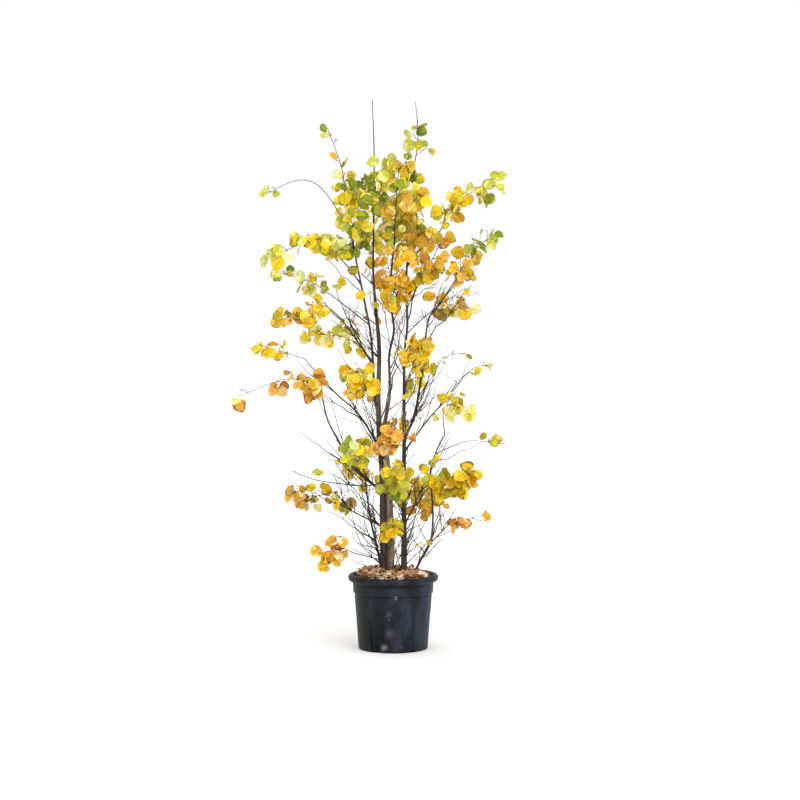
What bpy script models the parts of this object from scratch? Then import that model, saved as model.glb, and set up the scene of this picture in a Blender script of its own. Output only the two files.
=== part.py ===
"""A young katsura with several stems, in autumn leaf, in a round nursery pot.

Lengths in the tables are centimetres, and CM turns them into metres. X runs to
the right, Y to the back and Z up. The origin is the middle of the pot's flat
underside. Every limb is a tapering tube along a smooth curve, and every mass of
leaves is one piece: a stem of its own, twigs that branch from it by a seeded
rule, and leaves sunk into the twigs.
"""

import math
import random

import bpy
from mathutils import Matrix, Vector
from mathutils.bvhtree import BVHTree

CM = 0.01
GAP = 0.0003

# The pot, a 30 litre nursery pot
POT_HEIGHT = 33.0
POT_BASE_RADIUS = 15.4
POT_STEP_HEIGHT = 24.8
POT_STEP_RADIUS = 17.2
POT_STEP_DEPTH = 0.5
POT_NECK_RADIUS = 18.0
POT_LIP_RADIUS = 20.0
POT_LIP_DEPTH = 3.0
POT_LIP_ROUND = 0.7
POT_WALL = 0.5
POT_FLOOR = 0.8
POT_SIDES = 28
POT_FOOT_SLOTS = 6
POT_FIRST_SLOT = math.radians(-114)
POT_SLOT_WIDTH = 2.4
POT_SLOT_HEIGHT = 0.5
POT_SLOT_DEPTH = 0.7
POT_FOOT_CHAMFER = 0.3
POT_STEP_RISE = 0.4
SOIL_HEIGHT = 30.5
SOIL_SPREAD = 0.5

# Roundness of the limbs
STEM_SIDES = 6
BOUGH_SIDES = 5
TWIG_SIDES = 3
STEM_STEPS = 2
BOUGH_STEPS = 2
MASS_STEM_STEPS = 2
FLARE = 1.3
FLARE_RISE = 1.6
FLARE_END = 4.0
BOUGH_COLLAR = 1.15
SHARP_ANGLE = math.radians(40)

# A mass's own stem: its share of its limb's radius, its thickest and its tip
MASS_STEM_SHARE = 0.6
MASS_STEM_RADIUS = 0.28
MASS_STEM_TIP_RADIUS = 0.13
STRAIGHT_START = 1.5
NEIGHBOUR_REACH = 60.0

# Twigs: where they leave the stem, how far they lean along it, and how far they reach
TWIG_BASE_RADIUS = 0.17
TWIG_TIP_RADIUS = 0.12
TWIG_SPACING = 7.0
GOLDEN_ANGLE = math.radians(137.5)
TWIG_PHASE = 0.6
TWIG_LAST = 0.97
TWIG_LEAN = (0.55, 1.0)
TWIG_LIFT = 0.2
TWIG_REACH = (0.75, 1.1)
TWIG_SHORTEST = 1.6
TWIG_ROOT_SHARE = 0.2
TWIG_ROOM = 1.6

# Leaves: larger than life, because they are fewer than on the tree
LEAF_LENGTH = 8.0
LEAF_SPREAD = 0.12
LEAF_WIDTH = 0.90
LEAF_THICKNESS = 0.16
LEAF_SUNK = 0.06
LEAF_SHARE = 0.45
LEAF_NODE_SPACING = 2.0
LEAF_PHASE = 0.75
LEAF_OFFSET = 0.35
LEAF_TRIES = 5
LEAF_TIP_THINNING = 0.5
LEAF_TIP_FIRST = 0.93
LEAF_THINNING_FROM = 2.0
LEAF_THINNING_OVER = 2.0
LEAF_ROOM = 1.06
LEAF_ROOT_ROOM = 0.45
LEAF_ASIDE = 0.9
LEAF_ONWARD = 0.45
LEAF_HANG = 0.45
LEAF_JITTER = 0.65
FACE_BREADTH = 0.7
FACE_LIFT = 0.35
LIMB_CLEARANCE = 0.15
NEARLY_UPRIGHT = 0.2
NEARLY_FLAT = 0.05

# The share of a mass's own stem that stays bare at its tip
BARE_TIPS = {"spray_leader_right": 0.12}

# A leaf's outline from its root: share of the length along it, and of the half width across
LEAF_OUTLINE = ((0.34, 0.88), (0.68, 0.80), (1.0, 0.0))
LEAF_RIDGE = 0.52

STEM_BARK = (0.115, 0.090, 0.072)
POT_COLOUR = (0.030, 0.034, 0.040)
SOIL_COLOUR = (0.150, 0.085, 0.045)
YELLOW = (0.90, 0.62, 0.05)
GOLD = (0.78, 0.45, 0.04)
ORANGE = (0.78, 0.33, 0.05)
OLIVE = (0.50, 0.42, 0.05)
GREEN = (0.25, 0.36, 0.04)
TAN = (0.52, 0.30, 0.12)
BARK_ROUGHNESS = 0.85
POT_ROUGHNESS = 0.5
SOIL_ROUGHNESS = 0.95
LEAF_ROUGHNESS = 0.6

# Each stem as the places that it passes: right, back, up, and its radius there
STEMS = {
    "stem_main": (
        (-3.5, 1.8, 30.5, 2.15), (-4.0, 1.9, 59.0, 1.95), (-4.4, 2.0, 79.0, 1.75),
        (-5.9, 2.2, 94.0, 1.45), (-6.6, 2.4, 110.0, 1.05), (-6.2, 2.5, 132.0, 0.95),
        (-7.6, 2.7, 150.0, 0.70), (-8.8, 2.8, 167.0, 0.50), (-8.4, 3.0, 198.0, 0.34),
        (-8.4, 3.0, 220.0, 0.24), (-9.2, 3.2, 242.0, 0.15),
    ),
    "stem_front": (
        (-0.9, -2.2, 30.5, 1.55), (-1.3, -1.9, 59.0, 1.40), (-2.6, -1.4, 82.0, 1.25),
        (-4.0, -1.9, 96.5, 0.98), (-1.5, -3.0, 113.0, 0.62), (-1.8, -3.6, 129.0, 0.55),
        (0.3, -3.9, 141.0, 0.50), (-1.0, -4.2, 153.0, 0.45), (-0.4, -4.6, 171.0, 0.38),
        (3.1, -5.0, 198.0, 0.30), (5.3, -5.2, 211.0, 0.20),
    ),
    "stem_right": (
        (4.8, 0.4, 30.5, 1.40), (4.8, 0.6, 59.0, 1.08), (4.8, 0.8, 90.0, 0.86),
        (4.8, 1.0, 112.0, 0.70), (5.0, 1.0, 130.0, 0.60), (6.2, 1.3, 143.0, 0.52),
        (5.8, 1.5, 158.0, 0.46), (6.6, 1.8, 180.0, 0.38), (8.4, 2.0, 194.0, 0.32),
        (9.2, 2.0, 211.0, 0.25),
    ),
    "sprout_right": (
        (8.0, 3.0, 30.5, 0.56), (12.4, 3.0, 39.0, 0.50), (16.5, 2.6, 47.0, 0.46),
        (17.6, 2.3, 59.0, 0.42), (16.6, 2.0, 77.0, 0.38), (18.2, 1.7, 85.0, 0.35),
        (22.0, 1.2, 93.5, 0.30),
    ),
    "sprout_left": (
        (-4.8, 6.4, 30.5, 0.56), (-7.2, 6.5, 44.0, 0.50), (-9.6, 6.5, 54.0, 0.45),
        (-11.2, 6.3, 64.0, 0.40), (-12.3, 6.0, 72.5, 0.34),
    ),
}

# Each bough: the limb that it leaves, how high, and the places that it passes
BOUGHS = {
    "stem_fork_left": ("stem_main", 97.0, (
        (-8.3, 4.9, 114.0, 0.60), (-9.0, 5.2, 127.0, 0.56), (-9.9, 5.0, 138.5, 0.52),
        (-12.0, 4.6, 150.0, 0.47), (-14.6, 4.0, 163.0, 0.41), (-18.9, 3.0, 184.5, 0.33),
        (-20.3, 3.0, 193.0, 0.30))),
    "bough_left_strong": ("stem_main", 68.0, (
        (-13.6, 0.0, 77.0, 0.56), (-19.8, -2.0, 82.5, 0.50), (-22.6, -3.0, 89.5, 0.44),
        (-28.5, -5.0, 101.0, 0.38), (-31.0, -6.0, 111.5, 0.32))),
    "bough_left_mid": ("stem_main", 87.0, (
        (-12.3, 6.0, 99.0, 0.42), (-17.0, 9.0, 105.0, 0.38), (-26.4, 14.0, 113.0, 0.32),
        (-39.0, 19.0, 126.5, 0.22))),
    "bough_left_high": ("stem_fork_left", 126.0, (
        (-19.0, 0.0, 140.5, 0.34), (-24.2, -4.0, 147.0, 0.29), (-29.5, -8.0, 152.0, 0.23))),
    "bough_upper_left": ("stem_fork_left", 161.0, (
        (-19.5, 3.0, 168.0, 0.27), (-22.5, 1.5, 171.5, 0.22))),
    "bough_left_low": ("stem_main", 53.0, (
        (-11.0, 1.4, 57.0, 0.34), (-18.0, 6.5, 60.0, 0.29), (-22.4, 9.5, 62.0, 0.23))),
    "bough_left_bare": ("stem_main", 73.5, (
        (-12.0, -5.0, 72.5, 0.30), (-21.5, -8.0, 73.5, 0.26), (-34.3, -11.0, 75.8, 0.19),
        (-44.5, -13.0, 80.0, 0.12))),
    "bough_right_high": ("stem_right", 92.0, (
        (8.8, -1.8, 102.0, 0.54), (11.2, -3.2, 113.0, 0.50), (13.8, -5.0, 134.0, 0.44),
        (15.6, -6.0, 146.0, 0.40), (20.4, -7.0, 152.5, 0.36), (27.0, -8.5, 162.5, 0.28))),
    "bough_right_mid": ("stem_right", 87.0, (
        (10.1, 3.8, 94.0, 0.38), (16.3, 6.4, 102.0, 0.34), (24.2, 8.4, 110.5, 0.28),
        (31.2, 10.0, 119.5, 0.21))),
    "bough_top_right": ("stem_right", 169.0, (
        (14.1, 3.0, 179.0, 0.31), (19.8, 4.0, 184.0, 0.25))),
    "bough_right_low": ("stem_right", 54.0, (
        (9.5, -4.0, 64.5, 0.33), (12.5, -6.0, 70.5, 0.30), (18.0, -9.0, 75.5, 0.26))),
    "bough_right_lower": ("sprout_right", 46.0, (
        (21.4, 4.6, 51.0, 0.28), (24.2, 6.0, 54.0, 0.22))),
}

# Each mass: its limb, the height it leaves it (None at the limb's tip), the way of its
# own stem, its girth, the bare share of that stem, its count of leaves, and its main tint
MASSES = {
    "spray_fork_left": ("stem_fork_left", None,
                        ((-21.3, 2.8, 200.0), (-22.6, 2.4, 212.0), (-28.6, 2.0, 229.0)),
                        6.4, 0.0, 21, YELLOW),
    "tuft_crown_left": ("stem_fork_left", 170.0, ((-17.5, -6.0, 184.0), (-15.0, -10.0, 204.0)),
                        11.0, 0.1, 42, OLIVE),
    "tuft_crown_left_back": ("stem_main", 172.0, ((-9.0, 15.0, 184.0), (-8.0, 27.0, 202.0)),
                             11.5, 0.2, 32, YELLOW),
    "tuft_leader": ("stem_main", 190.0, ((-5.5, -1.0, 202.0), (-4.5, -2.0, 213.5)),
                    9.5, 0.1, 26, GREEN),
    "tuft_crown_front": ("stem_front", 177.0, ((1.0, -20.0, 192.5), (2.5, -31.0, 211.0)),
                         11.5, 0.2, 39, OLIVE),
    "tuft_crown_back": ("stem_right", 176.0, ((6.5, 20.0, 188.0), (5.0, 35.0, 208.0)),
                        11.0, 0.25, 28, GREEN),
    "tuft_crown_right": ("stem_right", 168.0, ((10.5, -7.0, 181.0), (8.5, -10.0, 200.0)),
                         10.5, 0.15, 34, GOLD),
    "spray_leader_right": ("stem_right", None, ((11.0, 2.0, 226.0), (9.8, 2.2, 240.5)),
                           9.0, 0.3, 7, GREEN),
    "tuft_crown_low": ("stem_front", 154.0, ((1.0, -23.0, 161.0), (2.0, -35.0, 176.0)),
                       9.5, 0.1, 29, GOLD),
    "tuft_crown_low_back": ("stem_right", 153.0, ((0.0, 24.0, 161.0), (-3.0, 40.0, 173.0)),
                            9.5, 0.2, 22, ORANGE),
    "spray_upper_left": ("bough_upper_left", None,
                         ((-27.0, -1.0, 180.0), (-36.0, -4.0, 180.0), (-46.0, -5.5, 176.0),
                          (-54.0, -6.0, 173.0)),
                         9.0, 0.0, 31, YELLOW),
    "spray_left_high": ("stem_fork_left", 143.0,
                        ((-22.0, 10.0, 152.0), (-36.5, 12.0, 162.0), (-50.5, 13.0, 166.0)),
                        7.2, 0.5, 15, GREEN),
    "spray_left_gold": ("bough_left_high", None,
                        ((-36.0, -9.0, 149.5), (-41.0, -10.5, 145.5), (-48.0, -12.0, 147.5)),
                        8.2, 0.2, 22, GOLD),
    "spray_left_bright": ("stem_fork_left", 127.0,
                          ((-17.0, 15.0, 135.0), (-27.0, 22.0, 138.0), (-38.0, 26.0, 138.5)),
                          7.6, 0.3, 20, YELLOW),
    "spray_left_mid": ("bough_left_mid", None, ((-47.5, 20.5, 130.0), (-60.5, 21.0, 134.0)),
                       7.0, 0.5, 11, OLIVE),
    "spray_far_left": ("bough_left_strong", None,
                       ((-35.5, -7.0, 116.5), (-40.0, -8.0, 119.0), (-49.5, -9.0, 119.0),
                        (-67.5, -10.0, 112.0)),
                       8.6, 0.0, 22, ORANGE),
    "tuft_left_centre": ("stem_main", 107.0, ((-12.0, -21.0, 118.0), (-15.5, -34.0, 124.0)),
                         8.6, 0.4, 19, GOLD),
    "tuft_left_back": ("stem_fork_left", 110.0, ((-14.0, 30.0, 113.0), (-18.0, 50.0, 121.0)),
                       9.0, 0.55, 14, OLIVE),
    "tuft_centre": ("stem_right", 114.0, ((8.0, -19.0, 124.5), (11.5, -34.0, 136.0)),
                    8.6, 0.4, 22, GOLD),
    "tuft_centre_back": ("stem_right", 107.0, ((10.0, 28.0, 115.0), (10.0, 47.0, 129.0)),
                         9.0, 0.45, 14, YELLOW),
    "spray_right_pale": ("bough_right_mid", None, ((36.5, 10.6, 124.0), (42.0, 11.0, 125.0)),
                         6.4, 0.0, 3, YELLOW),
    "spray_right_arch": ("stem_right", 97.0,
                         ((14.0, -9.0, 111.0), (21.0, -12.0, 128.0), (31.0, -13.0, 131.0)),
                         4.6, 0.6, 3, TAN),
    "spray_right_bright": ("sprout_right", None,
                           ((22.0, -3.0, 104.5), (25.0, -6.0, 108.5), (32.0, -8.0, 105.0)),
                           7.6, 0.35, 15, YELLOW),
    "spray_far_right": ("sprout_right", 86.0,
                        ((27.0, 5.5, 89.5), (35.0, 6.5, 91.5), (50.0, 7.0, 90.0)),
                        5.0, 0.75, 3, OLIVE),
    "tuft_mid_front": ("stem_right", 92.0,
                       ((6.0, -20.0, 95.0), (1.0, -33.0, 96.5), (-5.0, -38.0, 94.5)),
                       7.6, 0.4, 22, ORANGE),
    "tuft_mid_back": ("stem_main", 84.0, ((-1.0, 28.0, 93.0), (3.0, 49.0, 99.0)),
                      8.6, 0.45, 14, GOLD),
    "tuft_left_green": ("stem_main", 85.0, ((-12.5, -16.0, 87.5), (-18.0, -30.0, 91.5)),
                        8.8, 0.3, 24, GREEN),
    "tuft_left_low_back": ("sprout_left", None, ((-16.0, 20.0, 78.0), (-20.0, 38.0, 79.5)),
                           9.0, 0.35, 12, YELLOW),
    "tuft_low_front": ("stem_front", 64.0, ((0.5, -18.0, 72.0), (0.5, -32.0, 82.0)),
                       8.6, 0.35, 26, OLIVE),
    "tuft_low_back": ("stem_right", 60.0, ((7.0, 24.0, 64.0), (9.0, 42.0, 71.5)),
                      9.4, 0.45, 15, GOLD),
    "tuft_foot": ("stem_front", 47.0, ((-1.0, -8.0, 52.0), (-1.5, -12.0, 55.5)),
                  7.0, 0.4, 9, OLIVE),
    "tuft_right_low": ("stem_right", 51.0, ((10.5, 12.0, 58.0), (16.0, 23.0, 66.5)),
                       9.0, 0.5, 25, GOLD),
    "spray_right_low": ("bough_right_low", None,
                        ((23.0, -12.0, 76.5), (27.5, -14.5, 75.5), (33.0, -15.5, 74.5)),
                        10.6, 0.0, 37, GOLD),
    "spray_right_lowest": ("bough_right_lower", None,
                           ((27.0, 6.8, 54.5), (33.0, 7.8, 56.5), (39.5, 8.5, 58.0)),
                           7.2, 0.0, 9, ORANGE),
    "spray_left_low": ("bough_left_low", None,
                       ((-29.5, 14.0, 66.5), (-37.0, 17.0, 65.5), (-44.0, 18.5, 66.0)),
                       8.4, 0.0, 19, TAN),
    "tuft_bottom_left": ("stem_main", 38.5,
                         ((-16.5, -7.5, 43.0), (-23.0, -9.5, 45.5), (-29.0, -11.0, 42.5)),
                         8.0, 0.5, 18, ORANGE),
    "spray_arch_left": ("stem_fork_left", 183.5,
                        ((-30.5, 0.5, 202.0), (-41.0, -1.0, 206.5), (-54.5, -2.0, 201.0)),
                        4.6, 0.86, 3, GREEN),
    "spray_top_right": ("bough_top_right", None,
                        ((25.0, 5.5, 193.0), (33.5, 6.5, 201.0), (46.5, 7.0, 204.5)),
                        8.6, 0.25, 36, OLIVE),
    "spray_right_high": ("bough_right_high", None, ((33.0, -10.0, 173.0), (43.0, -12.0, 182.5)),
                         8.8, 0.0, 25, OLIVE),
    "tuft_right_inner": ("stem_right", 160.0, ((14.5, -13.0, 168.0), (21.0, -21.0, 180.0)),
                         8.2, 0.3, 21, GOLD),
    "spray_right_mid": ("stem_right", 139.0,
                        ((13.5, 13.0, 146.0), (22.5, 20.0, 152.0), (31.0, 26.0, 150.0)),
                        9.0, 0.45, 18, TAN),
}


def clear_scene():
    """Removes whatever the opened scene holds."""
    for obj in list(bpy.data.objects):
        bpy.data.objects.remove(obj, do_unlink=True)


def finish(obj, colour, roughness, smooth):
    """Gives an object its own plain material and its shading."""
    material = bpy.data.materials.new(obj.name + "_finish")
    material.use_nodes = True
    shader = material.node_tree.nodes["Principled BSDF"]
    shader.inputs["Base Color"].default_value = (*colour, 1.0)
    shader.inputs["Roughness"].default_value = roughness
    shader.inputs["Metallic"].default_value = 0.0
    obj.data.materials.clear()
    obj.data.materials.append(material)
    if smooth:
        obj.data.shade_smooth()
        obj.data.set_sharp_from_angle(angle=SHARP_ANGLE)


def mesh_object(name, points, faces, collection=None):
    """A new object from points and faces, in the scene or in a collection of helpers."""
    mesh = bpy.data.meshes.new(name)
    mesh.from_pydata([tuple(point) for point in points], [], faces)
    mesh.update()
    obj = bpy.data.objects.new(name, mesh)
    (collection or bpy.context.scene.collection).objects.link(obj)
    return obj


def curve_through(places, steps):
    """A smooth curve through places, each a tuple of numbers, as a list of tuples."""
    curve = []
    last = len(places) - 1
    for i in range(last):
        before = places[max(i - 1, 0)]
        here, there = places[i], places[i + 1]
        after = places[min(i + 2, last)]
        for step in range(steps):
            t = step / steps
            curve.append(tuple(
                b + 0.5 * t * (c - a + t * (2 * a - 5 * b + 4 * c - d + t * (3 * (b - c) + d - a)))
                for a, b, c, d in zip(before, here, there, after)
            ))
    curve.append(tuple(places[-1]))
    return curve


def directions_along(points):
    """The unit direction of a path at each of its points."""
    found = []
    for i in range(len(points)):
        ahead = points[min(i + 1, len(points) - 1)]
        behind = points[max(i - 1, 0)]
        found.append((ahead - behind).normalized())
    return found


def tube(points, radii, sides, flat_foot=False):
    """Points and faces of a closed tube whose radius changes along its path."""
    directions = directions_along(points)
    if flat_foot:
        directions[0] = Vector((0, 0, 1))
    across = directions[0].orthogonal().normalized()
    rings = []
    for place, along, radius in zip(points, directions, radii):
        across = (across - along * across.dot(along)).normalized()
        up = along.cross(across)
        for side in range(sides):
            angle = 2 * math.pi * side / sides
            rings.append(place + radius * (math.cos(angle) * across + math.sin(angle) * up))
    faces = [list(range(sides))[::-1]]
    for ring in range(len(points) - 1):
        first = ring * sides
        for side in range(sides):
            beside = (side + 1) % sides
            faces.append([first + side, first + beside, first + sides + beside, first + sides + side])
    last = (len(points) - 1) * sides
    faces.append(list(range(last, last + sides)))
    return rings, faces


def path_and_radii(places, steps):
    """A limb's path in metres and its radii, from its places in centimetres."""
    curve = curve_through(places, steps)
    path = [Vector(place[:3]) * CM for place in curve]
    return path, [place[3] * CM for place in curve]


def place_at_height(limb, height):
    """Where a limb's axis passes a height, with its radius there."""
    path, radii = limb
    level = height * CM
    for low, high, r_low, r_high in zip(path, path[1:], radii, radii[1:]):
        if low.z <= level <= high.z:
            share = (level - low.z) / (high.z - low.z)
            return low.lerp(high, share), r_low + share * (r_high - r_low)
    return path[-1], radii[-1]


def fattened(limb, extra, sides):
    """The tube of a limb with a little more radius, and longer at both ends."""
    path, radii = limb
    first = path[0] - (path[1] - path[0]).normalized() * extra
    last = path[-1] + (path[-1] - path[-2]).normalized() * extra
    points = [first, *path[1:-1], last]
    return tube(points, [radius + extra for radius in radii], sides)


def combine(obj, operation, other=None, group=None):
    """Joins or cuts an object by another or by a collection, and keeps the result."""
    modifier = obj.modifiers.new("combine", "BOOLEAN")
    modifier.operation = operation
    modifier.solver = "EXACT"
    if group is None:
        modifier.object = other
    else:
        modifier.operand_type = "COLLECTION"
        modifier.collection = group
    graph = bpy.context.evaluated_depsgraph_get()
    made = bpy.data.meshes.new_from_object(obj.evaluated_get(graph))
    obj.modifiers.clear()
    old = obj.data
    obj.data = made
    made.name = obj.name
    bpy.data.meshes.remove(old)


def remove_helper(obj):
    mesh = obj.data
    bpy.data.objects.remove(obj, do_unlink=True)
    bpy.data.meshes.remove(mesh)


def cut_clear(obj, limb, sides):
    """Cuts an object clear of the limb that carries it, with a thin gap all round."""
    points, faces = fattened(limb, GAP, sides)
    cutter = mesh_object("cutter", points, faces)
    cutter.hide_render = True
    cutter.display_type = "WIRE"
    combine(obj, "DIFFERENCE", other=cutter)
    remove_helper(cutter)


def keep_largest_shell(obj):
    """Drops loose scraps, and fills hollows by dropping their inner walls."""
    mesh = obj.data
    parent = list(range(len(mesh.vertices)))

    def root_of(index):
        while parent[index] != index:
            parent[index] = parent[parent[index]]
            index = parent[index]
        return index

    for edge in mesh.edges:
        first, second = (root_of(index) for index in edge.vertices)
        parent[first] = second
    shells = {}
    for face in mesh.polygons:
        shells.setdefault(root_of(face.vertices[0]), []).append(face)
    largest = max(shells.values(), key=lambda shell: sum(face.area for face in shell))
    if len(shells) == 1:
        return
    used = sorted({index for face in largest for index in face.vertices})
    renumbered = {index: new for new, index in enumerate(used)}
    points = [mesh.vertices[index].co.copy() for index in used]
    faces = [[renumbered[index] for index in face.vertices] for face in largest]
    made = bpy.data.meshes.new(obj.name)
    made.from_pydata(points, [], faces)
    made.update()
    obj.data = made
    bpy.data.meshes.remove(mesh)


def turned(name, profile, sides):
    """A solid of revolution about Z. The profile starts and ends on the axis."""
    points = [Vector((0, 0, profile[0][1] * CM))]
    ring_profile = profile[1:-1]
    for radius, height in ring_profile:
        for side in range(sides):
            angle = 2 * math.pi * side / sides
            points.append(Vector((radius * math.cos(angle), radius * math.sin(angle), height)) * CM)
    points.append(Vector((0, 0, profile[-1][1] * CM)))
    faces = []
    for side in range(sides):
        faces.append([0, 1 + (side + 1) % sides, 1 + side])
    for ring in range(len(ring_profile) - 1):
        low = 1 + ring * sides
        for side in range(sides):
            beside = (side + 1) % sides
            faces.append([low + side, low + beside, low + sides + beside, low + sides + side])
    top = 1 + (len(ring_profile) - 1) * sides
    for side in range(sides):
        faces.append([top + side, top + (side + 1) % sides, len(points) - 1])
    return mesh_object(name, points, faces)


def inner_radius(height):
    """The radius of the pot's inside up to the step: the outer taper less the wall."""
    share = height / POT_STEP_HEIGHT
    return POT_BASE_RADIUS + share * (POT_STEP_RADIUS - POT_BASE_RADIUS) - POT_WALL


def make_pot():
    """The pot: tapered wall, small step under the neck, rolled lip, slots at its foot."""
    lip_foot = POT_HEIGHT - POT_LIP_DEPTH
    corner = POT_LIP_ROUND
    outside = [
        (0.0, 0.0),
        (POT_BASE_RADIUS - POT_FOOT_CHAMFER, 0.0),
        (POT_BASE_RADIUS, POT_FOOT_CHAMFER),
        (POT_STEP_RADIUS, POT_STEP_HEIGHT),
        (POT_STEP_RADIUS + POT_STEP_DEPTH, POT_STEP_HEIGHT + POT_STEP_RISE),
        (POT_NECK_RADIUS, lip_foot),
        (POT_LIP_RADIUS - corner, lip_foot),
        (POT_LIP_RADIUS, lip_foot + corner),
        (POT_LIP_RADIUS, POT_HEIGHT - corner),
        (POT_LIP_RADIUS - corner, POT_HEIGHT),
    ]
    inside = [
        (POT_NECK_RADIUS, POT_HEIGHT),
        (POT_NECK_RADIUS - POT_WALL, POT_HEIGHT - POT_WALL),
        (inner_radius(POT_STEP_HEIGHT), POT_STEP_HEIGHT),
        (inner_radius(POT_FLOOR), POT_FLOOR),
        (0.0, POT_FLOOR),
    ]
    pot = turned("pot", outside + inside, POT_SIDES)
    for slot in range(POT_FOOT_SLOTS):
        angle = POT_FIRST_SLOT + 2 * math.pi * slot / POT_FOOT_SLOTS
        size = Matrix.Diagonal((2 * POT_SLOT_DEPTH, POT_SLOT_WIDTH, 2 * POT_SLOT_HEIGHT, 1.0))
        turn = Matrix.Rotation(angle, 4, "Z") @ Matrix.Translation((POT_BASE_RADIUS, 0, 0)) @ size
        corners = [Vector((x, y, z)) / 2 for x in (-1, 1) for y in (-1, 1) for z in (-1, 1)]
        box = [[0, 1, 3, 2], [4, 6, 7, 5], [0, 4, 5, 1], [2, 3, 7, 6], [0, 2, 6, 4], [1, 5, 7, 3]]
        cutter = mesh_object("slot", [(turn @ corner) * CM for corner in corners], box)
        cutter.hide_render = True
        cutter.display_type = "WIRE"
        combine(pot, "DIFFERENCE", other=cutter)
        remove_helper(cutter)
    finish(pot, POT_COLOUR, POT_ROUGHNESS, True)


def make_soil():
    """The growing medium, which fills the pot to just under its lip."""
    clear = GAP / CM
    floor = POT_FLOOR + clear
    profile = [
        (0.0, floor),
        (inner_radius(POT_FLOOR) - clear, floor),
        (inner_radius(POT_STEP_HEIGHT) - clear, POT_STEP_HEIGHT),
        (inner_radius(POT_STEP_HEIGHT) - clear + SOIL_SPREAD, SOIL_HEIGHT),
        (0.0, SOIL_HEIGHT),
    ]
    finish(turned("soil", profile, POT_SIDES), SOIL_COLOUR, SOIL_ROUGHNESS, True)


def with_flare(places):
    """Adds the swelling at a stem's foot, and sets its flat cut just above the soil."""
    foot, above = places[:2]
    radius = foot[3]
    level = SOIL_HEIGHT + GAP / CM

    def place(rise, swelling):
        share = rise * radius / (above[2] - foot[2])
        across, back = (low + share * (high - low) for low, high in zip(foot[:2], above[:2]))
        return across, back, level + rise * radius, radius * swelling

    return (
        place(0.0, FLARE),
        place(FLARE_RISE, (1 + FLARE) / 2),
        place(FLARE_END, 1.0),
        *places[1:],
    )


def make_stems(limbs):
    for name, places in STEMS.items():
        path, radii = path_and_radii(with_flare(places), STEM_STEPS)
        limbs[name] = (path, radii, STEM_SIDES)
        points, faces = tube(path, radii, STEM_SIDES, flat_foot=True)
        finish(mesh_object(name, points, faces), STEM_BARK, BARK_ROUGHNESS, True)


def make_boughs(limbs):
    """Boughs start inside the limb that carries them and are then cut clear of it."""
    for name, (carrier, height, places) in BOUGHS.items():
        carrier_limb = limbs[carrier]
        start, _ = place_at_height(carrier_limb[:2], height)
        first = (*(start / CM), places[0][3] * BOUGH_COLLAR)
        path, radii = path_and_radii((first, *places), BOUGH_STEPS)
        limbs[name] = (path, radii, BOUGH_SIDES)
        points, faces = tube(path, radii, BOUGH_SIDES)
        bough = mesh_object(name, points, faces)
        cut_clear(bough, carrier_limb[:2], carrier_limb[2])
        keep_largest_shell(bough)
        finish(bough, STEM_BARK, BARK_ROUGHNESS, True)


class Mass:
    """One mass of leaves: its stem's path, its space, and what it is made of."""

    def __init__(self, name, spec, limbs):
        carrier, height, places, girth, bare, leaves, tint = spec
        self.name = name
        self.carrier = carrier
        self.from_side = height is not None
        self.girth = girth * CM
        self.bare = bare
        self.leaves = round(leaves * LEAF_SHARE)
        self.tint = tint
        self.random = random.Random(name)
        path, radii, _ = limbs[carrier]
        if self.from_side:
            start, radius = place_at_height((path, radii), height)
            radius = min(radius * MASS_STEM_SHARE, MASS_STEM_RADIUS * CM)
        else:
            onward = (path[-1] - path[-2]).normalized()
            start, radius = path[-1] + onward * GAP, radii[-1]
        route = [tuple(start)]
        if not self.from_side:
            route.append(tuple(start + onward * STRAIGHT_START * CM))
        route += [tuple(Vector(place) * CM) for place in places]
        self.path = [Vector(place) for place in curve_through(route, MASS_STEM_STEPS)]
        if not self.from_side:
            # The first piece runs straight on from the bough, so that their cut ends stay parallel
            self.path[1:MASS_STEM_STEPS] = []
        count = len(self.path) - 1
        tip = MASS_STEM_TIP_RADIUS * CM
        self.radii = [radius + (tip - radius) * i / count for i in range(count + 1)]

    def distance(self, point):
        """How far a point is from the leafy part of the stem, in girths."""
        nearest = 1e9
        first = int(self.bare * (len(self.path) - 1))
        for low, high in zip(self.path[first:], self.path[first + 1:]):
            run = high - low
            share = max(0.0, min(1.0, (point - low).dot(run) / run.length_squared))
            nearest = min(nearest, (point - low - run * share).length)
        return nearest / self.girth

    def place_along(self, share):
        """The place, direction and radius at a share of the stem's length."""
        at = share * (len(self.path) - 1)
        low = min(int(at), len(self.path) - 2)
        part = at - low
        run = self.path[low + 1] - self.path[low]
        radius = self.radii[low] + part * (self.radii[low + 1] - self.radii[low])
        return self.path[low] + run * part, run.normalized(), radius


def in_own_space(mass, points, masses):
    """Whether points lie in a mass's own space, which no other mass shares."""
    for point in points:
        own = mass.distance(point)
        if own > 1.0:
            return False
        for other in masses:
            if other is mass or (other.path[-1] - point).length > NEIGHBOUR_REACH * CM:
                continue
            if other.distance(point) < own:
                return False
    return True


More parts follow.
